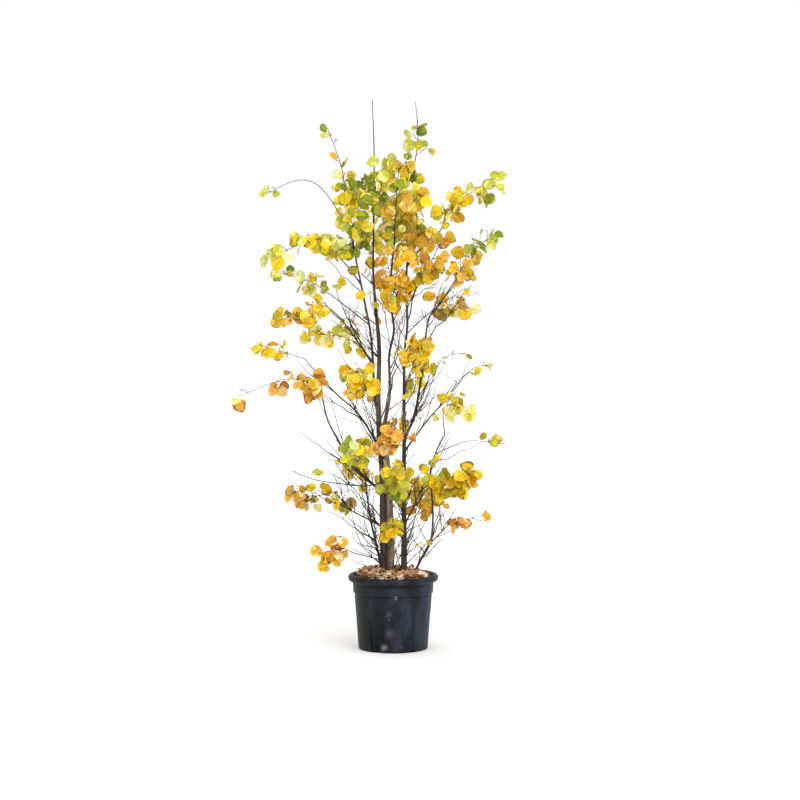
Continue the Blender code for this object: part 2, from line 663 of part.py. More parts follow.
def grow_twigs(mass, blocked, masses):
    """The mass's side twigs, which turn round its stem by the golden angle."""
    twigs = []
    length = sum((b - a).length for a, b in zip(mass.path, mass.path[1:])) * (1 - mass.bare)
    count = max(2, round(length / (TWIG_SPACING * CM)))
    turn = mass.random.uniform(0, 2 * math.pi)
    for i in range(count):
        share = mass.bare + (1 - mass.bare) * (i + TWIG_PHASE) / count
        share = min(share, TWIG_LAST)
        start, along, _ = mass.place_along(share)
        turn += GOLDEN_ANGLE
        across = along.orthogonal().normalized()
        across.rotate(Matrix.Rotation(turn, 3, along))
        lean = mass.random.uniform(*TWIG_LEAN)
        reach = (mass.girth - 0.5 * LEAF_LENGTH * CM) * mass.random.uniform(*TWIG_REACH)
        reach = max(reach, TWIG_SHORTEST * CM)
        aim = (across + along * lean + Vector((0, 0, TWIG_LIFT))).normalized()
        end = start + aim * reach
        if not in_own_space(mass, [end], masses):
            continue
        radii = [TWIG_BASE_RADIUS * CM, TWIG_TIP_RADIUS * CM]
        away = [start.lerp(end, TWIG_ROOT_SHARE), end]
        if touches(*tube(away, [radius * TWIG_ROOM for radius in radii], TWIG_SIDES), blocked):
            continue
        twigs.append(([start, end], *tube([start, end], radii, TWIG_SIDES)))
    return twigs


def touches(points, faces, blocked):
    """Whether a small piece meets any of the blocked trees of faces."""
    tree = BVHTree.FromPolygons(points, faces)
    return any(tree.overlap(other) for other in blocked)


def leaf(root, along, normal, length, width):
    """Points and faces of one leaf: flat below and raised along its middle above."""
    side = normal.cross(along).normalized()
    ridge = root + along * length * LEAF_RIDGE + normal * LEAF_THICKNESS * CM
    right = [root + along * length * run + side * width / 2 * out for run, out in LEAF_OUTLINE[:-1]]
    left = [root + along * length * run - side * width / 2 * out for run, out in LEAF_OUTLINE[:-1]]
    tip = root + along * length * LEAF_OUTLINE[-1][0]
    rim = right + [tip] + left[::-1]
    points = [root, *rim, ridge]
    top = len(rim) + 1
    faces = [[top, i, (i + 1) % top] for i in range(top)]
    faces.append(list(range(top))[::-1])
    return points, faces


def leaf_nodes(mass, twigs):
    """Every place for a leaf: points along the stem's leafy part and along the twigs."""
    nodes = []
    paths = [path for path, _, _ in twigs]
    first = int(mass.bare * (len(mass.path) - 1))
    paths.append(mass.path[first:])
    tip = mass.path[-1]
    reach = (tip - mass.path[first]).length
    slimness = (reach / mass.girth - LEAF_THINNING_FROM) / LEAF_THINNING_OVER
    thinning = LEAF_TIP_THINNING * max(0.0, min(1.0, slimness))
    for path in paths:
        for low, high in zip(path, path[1:]):
            run = high - low
            count = max(1, round(run.length / (LEAF_NODE_SPACING * CM)))
            for i in range(count):
                place = low + run * (i + LEAF_PHASE) / count
                for side in (-1, 1):
                    along = run.normalized()
                    nodes.append((place + along * side * LEAF_OFFSET * CM, along, side))
    bare_tip = reach * BARE_TIPS.get(mass.name, 0.0)
    nodes = [node for node in nodes if (node[0] - tip).length >= bare_tip]

    def turn(node):
        outward = 1.0 - min(1.0, (node[0] - tip).length / reach)
        chance = mass.random.random() + thinning * outward
        return chance if outward < LEAF_TIP_FIRST else 0.0

    return sorted(nodes, key=turn)


def aim_of_leaf(mass, place, along, side):
    """A leaf's direction, out and a little down, and the way that its face looks."""
    jitter = Vector([mass.random.uniform(-1, 1) for _ in range(3)])
    across = along.cross(Vector((0, 0, 1)))
    if across.length < NEARLY_UPRIGHT:
        across = Vector((1, 0, 0))
    across.normalize()
    aim = across * side * LEAF_ASIDE + along * LEAF_ONWARD + jitter * LEAF_JITTER
    aim.z -= LEAF_HANG
    aim.normalize()
    turn = mass.random.uniform(0, 2 * math.pi)
    face = Vector((FACE_BREADTH * math.cos(turn), math.sin(turn), FACE_LIFT))
    face -= aim * face.dot(aim)
    if face.length < NEARLY_FLAT:
        face = aim.orthogonal()
    return aim, face.normalized()


def grow_leaves(mass, twigs, blocked, masses):
    """The mass's leaves, each clear of the limbs and of every other leaf."""
    leaves = []
    own = []
    for place, along, side in leaf_nodes(mass, twigs):
        if len(leaves) == mass.leaves:
            break
        for _ in range(LEAF_TRIES):
            aim, face = aim_of_leaf(mass, place, along, side)
            length = LEAF_LENGTH * CM * mass.random.uniform(1 - LEAF_SPREAD, 1 + LEAF_SPREAD)
            width = length * LEAF_WIDTH
            points, faces = leaf(place - aim * LEAF_SUNK * CM, aim, face, length, width)
            if not in_own_space(mass, points[1:], masses):
                continue
            free_root = place + aim * LEAF_ROOT_ROOM * CM
            room = leaf(free_root, aim, face, length, width * LEAF_ROOM)
            if touches(*room, blocked + own):
                continue
            leaves.append((points, faces))
            own.append(BVHTree.FromPolygons(points, faces))
            break
    return leaves, own


def make_mass(mass, limbs, blocked, masses):
    """Grows one mass, joins all of it into one solid, and cuts it clear of its limb."""
    twigs = grow_twigs(mass, blocked, masses)
    twig_trees = [BVHTree.FromPolygons(points, faces) for _, points, faces in twigs]
    leaves, leaf_trees = grow_leaves(mass, twigs, blocked + twig_trees, masses)
    points, faces = tube(mass.path, mass.radii, TWIG_SIDES)
    solid = mesh_object(mass.name, points, faces)
    pieces = bpy.data.collections.new("pieces")
    bpy.context.scene.collection.children.link(pieces)
    for _, twig_points, twig_faces in twigs:
        mesh_object("twig", twig_points, twig_faces, pieces)
    for leaf_points, leaf_faces in leaves:
        mesh_object("leaf", leaf_points, leaf_faces, pieces)
    combine(solid, "UNION", group=pieces)
    for piece in list(pieces.objects):
        remove_helper(piece)
    bpy.data.collections.remove(pieces)
    if mass.from_side:
        carrier = limbs[mass.carrier]
        cut_clear(solid, carrier[:2], carrier[2])
    keep_largest_shell(solid)
    finish(solid, mass.tint, LEAF_ROUGHNESS, False)
    blocked.extend(twig_trees + leaf_trees)


def make_masses(limbs):
    """Grows every mass, clear of all the limbs and of every other mass's stem."""
    masses = [Mass(name, spec, limbs) for name, spec in MASSES.items()]
    margin = LIMB_CLEARANCE * CM
    blocked = [
        BVHTree.FromPolygons(*fattened((path, radii), margin, sides))
        for path, radii, sides in limbs.values()
    ]
    stems = {
        mass.name: BVHTree.FromPolygons(*fattened((mass.path, mass.radii), margin, TWIG_SIDES))
        for mass in masses
    }
    for mass in masses:
        others = [tree for name, tree in stems.items() if name != mass.name]
        here = blocked + others
        known = len(here)
        make_mass(mass, limbs, here, masses)
        blocked.extend(here[known:])


def main():
    clear_scene()
    make_pot()
    make_soil()
    limbs = {}
    make_stems(limbs)
    make_boughs(limbs)
    make_masses(limbs)


main()
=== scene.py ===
"""The looks of a young katsura in a nursery pot, in autumn leaf.

Lengths are centimetres, and CM turns them into metres. Only the camera, the light, the
floor and the marks on the materials are given in metres. X runs to the right, Y to the
back and Z up. The stems, boughs, masses of leaves and the pot are worked out from the
same tables and the same seeded rule as the solids, with finer bark, twigs and leaves.
"""

import math
import random
from collections import namedtuple

import bpy
import numpy as np
from mathutils import Matrix, Vector, noise


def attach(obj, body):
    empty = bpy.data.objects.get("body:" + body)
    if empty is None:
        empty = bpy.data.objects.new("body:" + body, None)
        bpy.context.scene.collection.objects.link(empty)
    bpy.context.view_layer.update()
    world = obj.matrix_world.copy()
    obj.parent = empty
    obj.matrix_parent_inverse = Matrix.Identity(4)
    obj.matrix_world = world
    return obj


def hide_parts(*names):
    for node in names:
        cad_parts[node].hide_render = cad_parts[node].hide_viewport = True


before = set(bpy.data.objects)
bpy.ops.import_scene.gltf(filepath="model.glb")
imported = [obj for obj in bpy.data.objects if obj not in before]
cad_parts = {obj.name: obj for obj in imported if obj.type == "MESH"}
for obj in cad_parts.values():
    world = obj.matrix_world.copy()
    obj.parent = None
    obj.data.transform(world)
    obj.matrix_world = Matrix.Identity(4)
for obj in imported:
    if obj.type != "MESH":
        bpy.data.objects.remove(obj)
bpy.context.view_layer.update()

CM = 0.01
FULL_TURN = 2 * math.pi
UP = Vector((0.0, 0.0, 1.0))
BLACK = (0, 0, 0)
WHITE = (255, 255, 255)

# Camera, floor and light. Each light has the way that it comes from and its strength
CAMERA_PLACE = (0.0, -9.0, 1.56)
CAMERA_AIM = (0.03, 0.0, 1.10)
CAMERA_LENS = 92.0
SENSOR_WIDTH = 36.0
KEY_LIGHT = ((0.35, -0.8, 1.0), 1.14)
BACK_LIGHT = ((-0.6, 0.7, 0.9), 0.3)
LIGHT_SOFTNESS = math.radians(50)
SKY_STRENGTH = 1.0
FLOOR_SIZE = 200.0

# Each tint of leaf: its colour in the photo, out of 255, its foliage slot, the tints of its rim,
# blotches and pale patches, and what it turns to where the last leaves are still green
Tint = namedtuple("Tint", "colour slot rim blotch pale greener")
TINTS = {
    "straw": Tint((248, 235, 172), "yellow", "gold", "pale_yellow", "straw", "pale_green"),
    "pale_yellow": Tint((248, 234, 142), "yellow", "olive", "lime", "straw", "pale_green"),
    "yellow": Tint((250, 218, 14), "yellow", "olive", "gold", "pale_yellow", "lime"),
    "gold": Tint((234, 188, 18), "gold", "bronze", "deep_gold", "yellow", "green"),
    "deep_gold": Tint((206, 160, 4), "yellow", "rust", "olive", "gold", "green"),
    "amber": Tint((230, 176, 62), "orange", "rust", "gold", "pale_yellow", "green"),
    "orange": Tint((226, 156, 64), "orange", "rust", "amber", "amber", "green"),
    "rust": Tint((168, 104, 44), "tan", "bronze", "amber", "orange", "deep_green"),
    "tan": Tint((204, 172, 114), "tan", "rust", "gold", "straw", "lime"),
    "bronze": Tint((134, 106, 14), "olive", "rust", "gold", "amber", "deep_green"),
    "olive": Tint((170, 162, 36), "olive", "bronze", "deep_gold", "lime", "green"),
    "lime": Tint((196, 200, 64), "olive", "olive", "yellow", "pale_yellow", "lime"),
    "pale_green": Tint((204, 214, 124), "green", "lime", "straw", "straw", "pale_green"),
    "green": Tint((142, 158, 30), "green", "deep_green", "olive", "lime", "green"),
    "deep_green": Tint((100, 122, 30), "green", "olive", "green", "olive", "deep_green"),
}

# How often each tint turns up in a mass of each main tint
MIXES = {
    "yellow": {"yellow": 6, "gold": 3, "pale_yellow": 3, "olive": 2, "lime": 2, "straw": 1},
    "gold": {"gold": 5, "yellow": 4, "amber": 4, "olive": 2, "orange": 1, "deep_gold": 2},
    "orange": {"orange": 4, "amber": 5, "rust": 1, "gold": 2, "tan": 1},
    "olive": {"olive": 5, "lime": 2, "yellow": 2, "green": 2, "gold": 3, "amber": 1, "pale_yellow": 1,
        "deep_green": 1},
    "green": {"green": 5, "lime": 3, "deep_green": 1, "pale_green": 1, "yellow": 3},
    "tan": {"tan": 3, "gold": 3, "amber": 3, "olive": 2, "straw": 1, "bronze": 1},
}
OTHER_TINT_SHARE = 0.35

# High sprays whose last leaves are still green, from which share of the stem on
GREEN_TIPS = {
    "spray_arch_left": 0.5,
    "spray_fork_left": 0.72,
    "spray_upper_left": 0.82,
    "spray_top_right": 0.74,
    "spray_right_high": 0.62,
}
# A stem's tip without leaves, and its last part without side twigs, as shares of its leafy reach
BARE_TIPS = {"spray_leader_right": (0.12, 0.3)}
NO_LEAF, NO_TWIG = 0, 1

# A leaf's blade, as a grid of rows from its foot to its tip and of cuts across it
LEAF_ROWS = 13
LEAF_CUTS = (-1.0, -0.88, -0.6, -0.32, -0.04, 0.04, 0.32, 0.6, 0.88, 1.0)
LEAF_BREADTH = (0.94, 1.08)
LEAF_SHAPE = (
    (0.0, 0.40), (0.06, 0.66), (0.15, 0.87), (0.28, 0.99), (0.42, 1.0),
    (0.56, 0.95), (0.70, 0.83), (0.82, 0.63), (0.92, 0.34), (1.0, 0.02),
)
LEAF_LOBE = 0.12
LEAF_SCALLOP = 0.03
LEAF_LOPSIDED = 0.12
LEAF_WOBBLE = 0.05
WOBBLE_WAVES = (9, 2)
LEAF_QUILT = 0.036
LEAF_VEINS = (4.6, 1.5)
QUILT_FROM_MIDRIB = 4
FOLD_EASE = 0.4
EDGE_WAVES = (1.6, 0.35)
LEAF_SIDEWAYS = 0.08
LEAST_CURL = 0.02
# How far a blade is folded at its midrib, curled along its length and waved at its edge
LIVING_BLADE = ((-0.05, 0.42), (-0.5, 0.9), (0.01, 0.05))
DRY_BLADE = ((0.2, 0.9), (-1.2, 1.8), (0.04, 0.10))

# The parts of a blade that have a tint of their own, counted in rows and columns of its grid
PLAIN, RIM, BLOTCH, PALE = range(4)
RIM_WIDTHS = (0, 0, 1, 1, 2)
RIM_FIRST_ROWS = (0, 3, 6, 9)
MIDRIB_SHORT = 4
BLOTCH_COUNTS = (1, 2, 3, 4)
BLOTCH_SIZES = (1.2, 3.4)
BLOTCH_RAGGED = (0.6, 1.25)

# How the leaves stand in a mass
LEAF_SIZES = (3.2, 7.2)
LEAF_SIZE_BY_GIRTH = (0.72, 0.022)
LEAF_APART = 1.7
LEAF_SHARE = 1.42
LEAF_NODE_SPACING = 1.5
STEM_NODE_SPACING = 3.6
LEAF_TRIES = 8
LEAF_TIP_THINNING = 0.5
LEAF_THINNING_FROM = 2.0
LEAF_THINNING_OVER = 2.0
LEAF_TIP_FIRST = 0.93

# A leaf's stalk, its length bent at a share of it, and what turns the stalk, blade and face
PETIOLE = (1.3, 2.6)
PETIOLE_SHARES = (0.55, 0.45)
PETIOLE_UNDER_LEAF = 0.04
PETIOLE_RADIUS = 0.055
PETIOLE_TAPER = (1.4, 1.0, 0.8)
PETIOLE_SIDES = 4
STALK_ACROSS = 0.9
STALK_ALONG = 0.45
STALK_CHANCE = 0.5
LEAF_DROOP = 0.75
LEAF_CHANCE = 0.4
LEAF_FACING = (0.6, 1.0, 0.3)
LEAST_ACROSS = 0.2
LEAST_FACING = 0.05

# A mass's stem and twigs, as the solids have them
MASS_STEM_STEPS = 2
MASS_STEM_SHARE = 0.6
MASS_STEM_RADIUS = 0.28
MASS_STEM_TIP_RADIUS = 0.10
STRAIGHT_START = 1.5
SOLID_LEAF_LENGTH = 8.0
TWIG_SPACING = 7.0
LEAST_TWIGS = 2
GOLDEN_ANGLE = math.radians(137.5)
TWIG_PHASE = 0.6
TWIG_LAST = 0.97
TWIG_LEAN = (0.55, 1.0)
TWIG_LIFT = 0.2
TWIG_REACH = (0.75, 1.1)
TWIG_SHORTEST = 1.6

# The finer stem, more twigs between those, and finer twigs on both
FINE_STEPS = 7
MASS_STEM_SIDES = 7
EXTRA_TWIG_SPACING = 5.0
EXTRA_TWIG_PHASE = 0.3
TWIG_PLACES = 5
TWIG_BEND = 0.07
TWIG_RADII = (0.14, 0.08)
TWIG_SIDES = 5
FINE_TWIGS_PER_TWIG = 2
FINE_TWIG_STARTS = (0.3, 0.85)
FINE_TWIG_SPREAD = 0.9
FINE_TWIG_REACH = (0.3, 0.6)
FINE_TWIG_BEND = 0.05
FINE_TWIG_RADII = (0.11, 0.07)
FINE_TWIG_SIDES = 4

# Buds: how far apart, how long at each spot, how far a pair leans along the twig, how deep they
# are rooted, where they are widest, and their radii
SPUR_SPACING = 2.4
NODE_BUD = 0.32
SPUR_BUD = 0.4
TIP_BUD = 0.45
BUD_LEAN = 0.8
BUD_ROOT = 0.05
BUD_BELLY = 0.45
BUD_RADII = (0.06, 0.09, 0.015)
BUD_SIDES = 4

# Twigs that stand out in the photo: their limb, how high they leave it, and the places they pass
SEEN_TWIG_RADII = (0.24, 0.10)
SEEN_TWIG_STEPS = 3
SEEN_TWIGS = (
    ("stem_right", 36, ((9, 1, 40.5), (12.5, 2, 43.5), (19.5, 3, 52))),
    ("stem_right", 39, ((7.5, -1.5, 46), (11, -3, 50), (14, -4, 56.5))),
    ("stem_right", 44, ((8, 2, 51), (9.5, 3, 57), (10.5, 3.5, 64))),
    ("stem_right", 48, ((7, -3, 53), (11.5, -5, 55), (15, -6, 58.5))),
    ("sprout_right", 42, ((10.5, 0.5, 46), (8, -1, 51), (7, -1.5, 56))),
    ("sprout_right", 45.5, ((12, 4.5, 52), (10, 5, 58))),
    ("stem_main", 36, ((-10, -1, 41), (-14.5, -2, 42.5), (-18.9, -3, 45))),
    ("stem_main", 39, ((-12.3, 4, 43.8), (-15.4, 5, 48.2), (-18, 6, 57), (-19.8, 7, 66.7))),
    ("stem_main", 42, ((-10, -3, 45.5), (-15, -5, 47), (-18, -6, 50.5))),
    ("sprout_left", 44, ((-11, 5, 50), (-13, 4, 57), (-13.5, 3.5, 64))),
    ("bough_left_strong", 80, ((-22.5, 3, 92), (-25.5, 5, 102), (-28, 6, 112))),
    ("bough_left_strong", 84, ((-25, 2, 93), (-29, 4, 101), (-33, 5, 110))),
    ("bough_left_mid", 112, ((-33, 16, 117.5), (-39, 17, 122), (-43.5, 18, 128))),
    ("stem_fork_left", 112, ((-15, 4, 119), (-20.5, 3, 125.5), (-24.5, 2, 133))),
    ("stem_front", 120, ((1, -5, 127), (2.5, -6, 135), (3, -6.5, 142))),
    ("stem_right", 122, ((2.5, -1, 129), (0.5, -2, 136), (0, -3, 143))),
    ("bough_right_high", 112, ((14.5, -3, 116), (18.5, -3.5, 119.5), (22.5, -4, 126))),
)

# Thin shoots that rise from the stems and boughs between the masses. Each rank has the limb's
# length to a shoot, least, most and usual reach, radii, counts of forks, and heights where they
# start. LIMB_TIP comes off a limb's count of places, so that each starts before the last one
SHOOT_RANKS = (
    (30.0, (22.0, 42.0, 28.0), (0.32, 0.11), (2, 3, 4), (36.0, 162.0)),
    (5.6, (7.0, 26.0, 12.0), (0.22, 0.09), (0, 1, 2), (36.0, 162.0)),
    (5.5, (8.0, 27.0, 14.0), (0.27, 0.11), (1, 2, 3), (32.5, 66.0)),
)
LIMB_TIP = 1.01
SHOOT_INSIDE = 6.0
SHOOT_WIDEST = 24.0
SHOOT_RISE = (0.3, 2.1)
SHOOT_PLACES = 8
SHOOT_LIFT = (-0.06, 0.14)
SHOOT_KINK = 0.16
FORK_SPREAD = 1.0
FORK_LIFT = 0.25
FORK_REACH = (0.25, 0.6)
SPUR_CHANCE = 0.45
SPUR_LEAN = 0.5
SPUR_REACH = (0.8, 2.6)
SPUR_RADII = (0.11, 0.07, 0.06)
SHOOT_LEAF_SHARE = 0.16
SHOOT_LEAF_SIZES = (2.8, 4.6)
SHOOT_TINTS = ("gold", "yellow", "olive", "amber", "lime")

# Stems and boughs. The flare at a stem's foot is heights above the soil, and how thick it is
# there, both as shares of the stem's radius
SOIL_HEIGHT = 30.5
FLARE = ((0.0, 1.3), (1.6, 1.15), (4.0, 1.0))
LIMB_STEPS = 2
FINE_LIMB_STEPS = 12
STEM_SIDES = 20
STEM_RING_GAP = 0.7
BOUGH_FOOT = 1.15
BOUGH_COLLAR = 1.9
COLLAR_RINGS = 6
BOUGH_SIDES = 12
BOUGH_RING_GAP = 0.6

# Bark relief: its depth as a share of the radius, the first seed of each kind of limb, and the
# scale and weight of its furrows and of its fine lumps
STEM_RELIEF = 0.11
BOUGH_RELIEF = 0.10
BOUGH_SEEDS = 20
MASS_SEEDS = 60
RELIEF_SHIFT = (7.3, 3.1, 5.7)
RELIEF_AROUND = 1.6
RELIEF_ALONG = 9.0
FURROWS = (1.7, 0.7)
FINE_LUMPS = (5.0, 0.3)

# The pot, a 30 litre nursery pot
POT_HEIGHT = 33.0
POT_BASE_RADIUS = 15.4
POT_STEP_HEIGHT = 24.8
POT_STEP_RADIUS = 17.2
POT_NECK_RADIUS = 18.0
POT_LIP_RADIUS = 20.0
POT_LIP_DEPTH = 3.0
POT_SIDES = 360
WALL_FOOT = 0.6
WALL_RINGS = 26
LIP_ROUND = 1.3
LIP_PLACES = 13
LIP_TURN = 80
# Its outline as steps of radius and height: from the axis at the ground, from the step, from the
# neck at the lip's foot and at the top, and from the step's radius at the soil's height
FOOT_OUTLINE = ((0.0, 0.35), (8.0, 0.30), (13.4, 0.25), (14.3, 0.0), (15.0, 0.05), (15.3, 0.25))
STEP_OUTLINE = ((-0.4, -0.1), (0.35, 0.15), (0.5, 0.5))
NECK_OUTLINE = ((-0.15, -1.5), (0.0, -0.2), (0.3, 0.02))
TOP_OUTLINE = ((0.35, -0.03), (-0.05, -0.2), (-0.35, -0.7), (-0.5, -2.0))
INNER_FOOT = (-0.2, -1.0)

# The six flutes in its wall, each with a sharp crease at both edges, and the notches at its foot
FLUTE_PITCH = 60.0
FLUTE_FIRST = -33.0
FLUTE_HALF_ANGLE = 6.0
FLUTE_SQUARENESS = 6
FLUTE_DEPTH = 0.5
FLUTE_RANGE = (0.4, 16.0)
FLUTE_WEIGHTS = (1.25, 0.35, 0.8, 1.0, 0.9, 1.0)
FLUTED_RADII = (15.2, 17.3)
CREASE_ANGLE = 1.2
CREASE_DEPTH = 0.85
CREASE_FADE = 12.0
CREASE_SHARES = (0.4, 0.6)
NOTCH_FIRST = -28.0
NOTCH_HALF_ANGLE = 6.0
NOTCH_HEIGHT = 1.0
NOTCHED_RADII = (12.9, 15.6)
NOTCHED_BELOW = 1.4
POT_SMOOTH = math.radians(50)

# The soil, its mounded top and its crumbs
SOIL_SIDE_RADIUS = 13.8
SOIL_FOOT = 1.2
SOIL_SHOULDER = 2.0
SOIL_LEAST = 0.05
SOIL_RINGS = 26
SOIL_SIDES = 80
SOIL_SMOOTH = math.radians(60)
MOUND_RADIUS = 17.0
MOUND_RISE = 1.3
MOUND_CROWN = 0.8
MOUND_SWELL = 0.6
MOUND_TILT = 0.05
SWELL_SCALE = 0.16
SWELL_LAYER = 3.0
CRUMB_HEIGHT = 0.25
CRUMB_SCALE = 1.3

# Bark chips on the soil: their lengths, widths and thicknesses, outline, top, turn and tilt
CHIP_COUNT = 520
CHIP_MARGIN = 0.8
CHIP_SIZES = ((0.5, 1.6), (0.3, 0.8), (0.12, 0.35))
CHIP_OUTLINE = ((-0.5, -0.3), (-0.1, -0.5), (0.45, -0.35), (0.5, 0.2), (0.0, 0.5), (-0.45, 0.3))
CHIP_TOP = (0.85, 0.8)
CHIP_TURN = (0, 6.28)
CHIP_TILT = (-0.5, 0.5)
CHIP_LIFT = 0.15
PALE_CHIP_SHARE = 0.4

# Dry leaves on the soil, heaped higher on the left, and those that stand round the right stem
LITTER_COUNT = 230
LITTER_RADIUS = 15.8
LITTER_SIZES = (2.2, 5.0)
LITTER_SLOPE = (-0.25, 0.45)
LITTER_LEAN = ((-0.5, 0.5), (-0.6, 0.4))
LITTER_LIFT = 0.3
LITTER_HEAP = (1.3, 0.8)
HEAP_LEFT_OF = -4
LITTER_OFF_WALL = 0.7
STANDING_LEAVES = 7
STANDING_STEM = "stem_right"
STANDING_HEIGHTS = (0.8, 3.2)
STANDING_OFF_STEM = 2.0
STANDING_LEAN = 0.35
STANDING_SIZES = (4.0, 5.6)

# Bark, each with its dark, middle and light colour
PALE_STEM = "stem_front"
PALE_FADE = (0.85, 1.2)
BARK_STOPS = (0.30, 0.52, 0.74)
WORN_STOPS = (0.35, 0.70)
WORN_PATCHES = ((0.45, BLACK), (0.65, WHITE))
BARK_GREY = ("bark_grey", ((38, 32, 30), (70, 60, 53), (108, 96, 84)))
BARK_OLIVE = ("bark_olive", ((66, 54, 44), (112, 96, 76), (150, 134, 108)))
BARK_TWIG = ("bark_twig", ((24, 20, 20), (42, 35, 33), (68, 58, 54)))

# Plain finishes: name, darker and lighter colour, the pattern's scale, roughness, and grain depth
BUD_FINISH = ("bud_red", (92, 40, 32), (140, 66, 46), 300.0, 0.6, 0.0003)
STALK_FINISH = ("stalk", (190, 140, 60), (226, 186, 92), 200.0, 0.6, 0.0003)
CHIP_BROWN = ("chip_brown", (112, 76, 52), (160, 118, 84), 90.0, 0.9, 0.001)
CHIP_TAN = ("chip_tan", (168, 128, 92), (212, 172, 130), 90.0, 0.9, 0.001)
FLOOR_PAINT = ("floor_paint", (246, 246, 246), (250, 250, 250), 3.0, 0.85, 0.0002)
DRY_FINISH = (70.0, 0.8, 0.0006)
DRY_TINTS = {
    "tan": ((202, 156, 108), (236, 198, 150)),
    "pale": ((214, 186, 160), (242, 220, 198)),
    "pink": ((200, 148, 118), (234, 190, 160)),
    "brown": ((138, 94, 64), (188, 136, 98)),
    "rust": ((160, 116, 82), (204, 158, 116)),
    "gold": ((186, 156, 100), (222, 194, 132)),
}

# Where a plain finish's pattern changes colour
PLAIN_STOPS = (0.35, 0.65)
SOIL_SHADES = ((0.35, (70, 50, 38)), (0.62, (120, 90, 66)), (0.8, (168, 132, 98)))

# The pot's plastic, the dust with painted shade on its left, its spots, its scuffs with some painted shade,
# and the painted shade below the lip and in a flute, in metres
POT_PLASTIC = ((0.34, (12, 15, 19)), (0.50, (27, 33, 42)), (0.66, (46, 52, 62)))
# Darker and less blue on the left: a dusty tint with painted shade
POT_DUST_AND_SHADE = ((0.34, (5, 8, 8)), (0.70, (18, 23, 22)))
POT_DUST_AND_SHADE_SPAN = (-0.13, -0.05)
POT_SPOTS = ((0.62, BLACK), (0.76, (150, 150, 150)))
POT_SPOT_DUST = ((0.42, (22, 22, 26)), (0.72, (120, 112, 118)))
# Near black: painted shade below the lip and in the flute left of the front
POT_PAINTED_SHADE = ((0.3, (2, 2, 2)), (0.7, (7, 7, 8)))
# Painted shade below the lip, a band in height
SHADE_BELOW_LIP = ("Z", (0.282, 0.297), (0.304, 0.300))
# Painted shade in the recess of the flute left of the front, across it and fading out upwards
SHADE_IN_FLUTE = ("X", (-0.099, -0.090), (-0.066, -0.074))
FLUTE_SHADE_RISE = (0.19, 0.02)
SCUFF_SPECKLE = ((0.40, BLACK), (0.56, WHITE))
SCUFF_STOPS = (0.3, 0.8)
SCUFF_SHADE = 0.7
# Each scuff: its place on the wall, its reach and its colour. The two near-black ones high and low on the
# flute to the right of the front are painted shade in its recess, and the last is a near-black patch low on
# the wall
POT_SCUFFS_AND_SHADE = (
    ((0.011, -0.174, 0.246), 0.011, (236, 236, 242)),
    ((-0.020, -0.168, 0.174), 0.020, (92, 94, 102)),
    ((-0.018, -0.165, 0.150), 0.006, (150, 152, 158)),
    ((-0.014, -0.162, 0.088), 0.030, (98, 92, 114)),
    ((-0.040, -0.152, 0.024), 0.021, (142, 144, 150)),
    ((0.036, -0.152, 0.028), 0.012, (86, 88, 94)),
    ((0.078, -0.148, 0.178), 0.013, (3, 3, 4)),
    ((0.072, -0.139, 0.062), 0.016, (3, 3, 4)),
    ((0.042, -0.150, 0.038), 0.011, (3, 3, 4)),
)

# Each stem as the places that it passes: right, back, up, and its radius there
STEMS = {
    "stem_main": ((-3.5, 1.8, 30.5, 2.15), (-4, 1.9, 59, 1.95), (-4.4, 2, 79, 1.75), (-5.9, 2.2, 94, 1.45),
        (-6.6, 2.4, 110, 1.05), (-6.2, 2.5, 132, 0.95), (-7.6, 2.7, 150, 0.7), (-8.8, 2.8, 167, 0.5),
        (-8.4, 3, 198, 0.34), (-8.4, 3, 220, 0.24), (-9.2, 3.2, 242, 0.15)),
    "stem_front": ((-0.9, -2.2, 30.5, 1.55), (-1.3, -1.9, 59, 1.4), (-2.6, -1.4, 82, 1.25),
        (-4, -1.9, 96.5, 0.98), (-1.5, -3, 113, 0.62), (-1.8, -3.6, 129, 0.55), (0.3, -3.9, 141, 0.5),
        (-1, -4.2, 153, 0.45), (-0.4, -4.6, 171, 0.38), (3.1, -5, 198, 0.3), (5.3, -5.2, 211, 0.2)),
    "stem_right": ((4.8, 0.4, 30.5, 1.4), (4.8, 0.6, 59, 1.08), (4.8, 0.8, 90, 0.86), (4.8, 1, 112, 0.7),
        (5, 1, 130, 0.6), (6.2, 1.3, 143, 0.52), (5.8, 1.5, 158, 0.46), (6.6, 1.8, 180, 0.38),
        (8.4, 2, 194, 0.32), (9.2, 2, 211, 0.25)),
    "sprout_right": ((8, 3, 30.5, 0.56), (12.4, 3, 39, 0.5), (16.5, 2.6, 47, 0.46), (17.6, 2.3, 59, 0.42),
        (16.6, 2, 77, 0.38), (18.2, 1.7, 85, 0.35), (22, 1.2, 93.5, 0.3)),
    "sprout_left": ((-4.8, 6.4, 30.5, 0.56), (-7.2, 6.5, 44, 0.5), (-9.6, 6.5, 54, 0.45),
        (-11.2, 6.3, 64, 0.4), (-12.3, 6, 72.5, 0.34)),
}

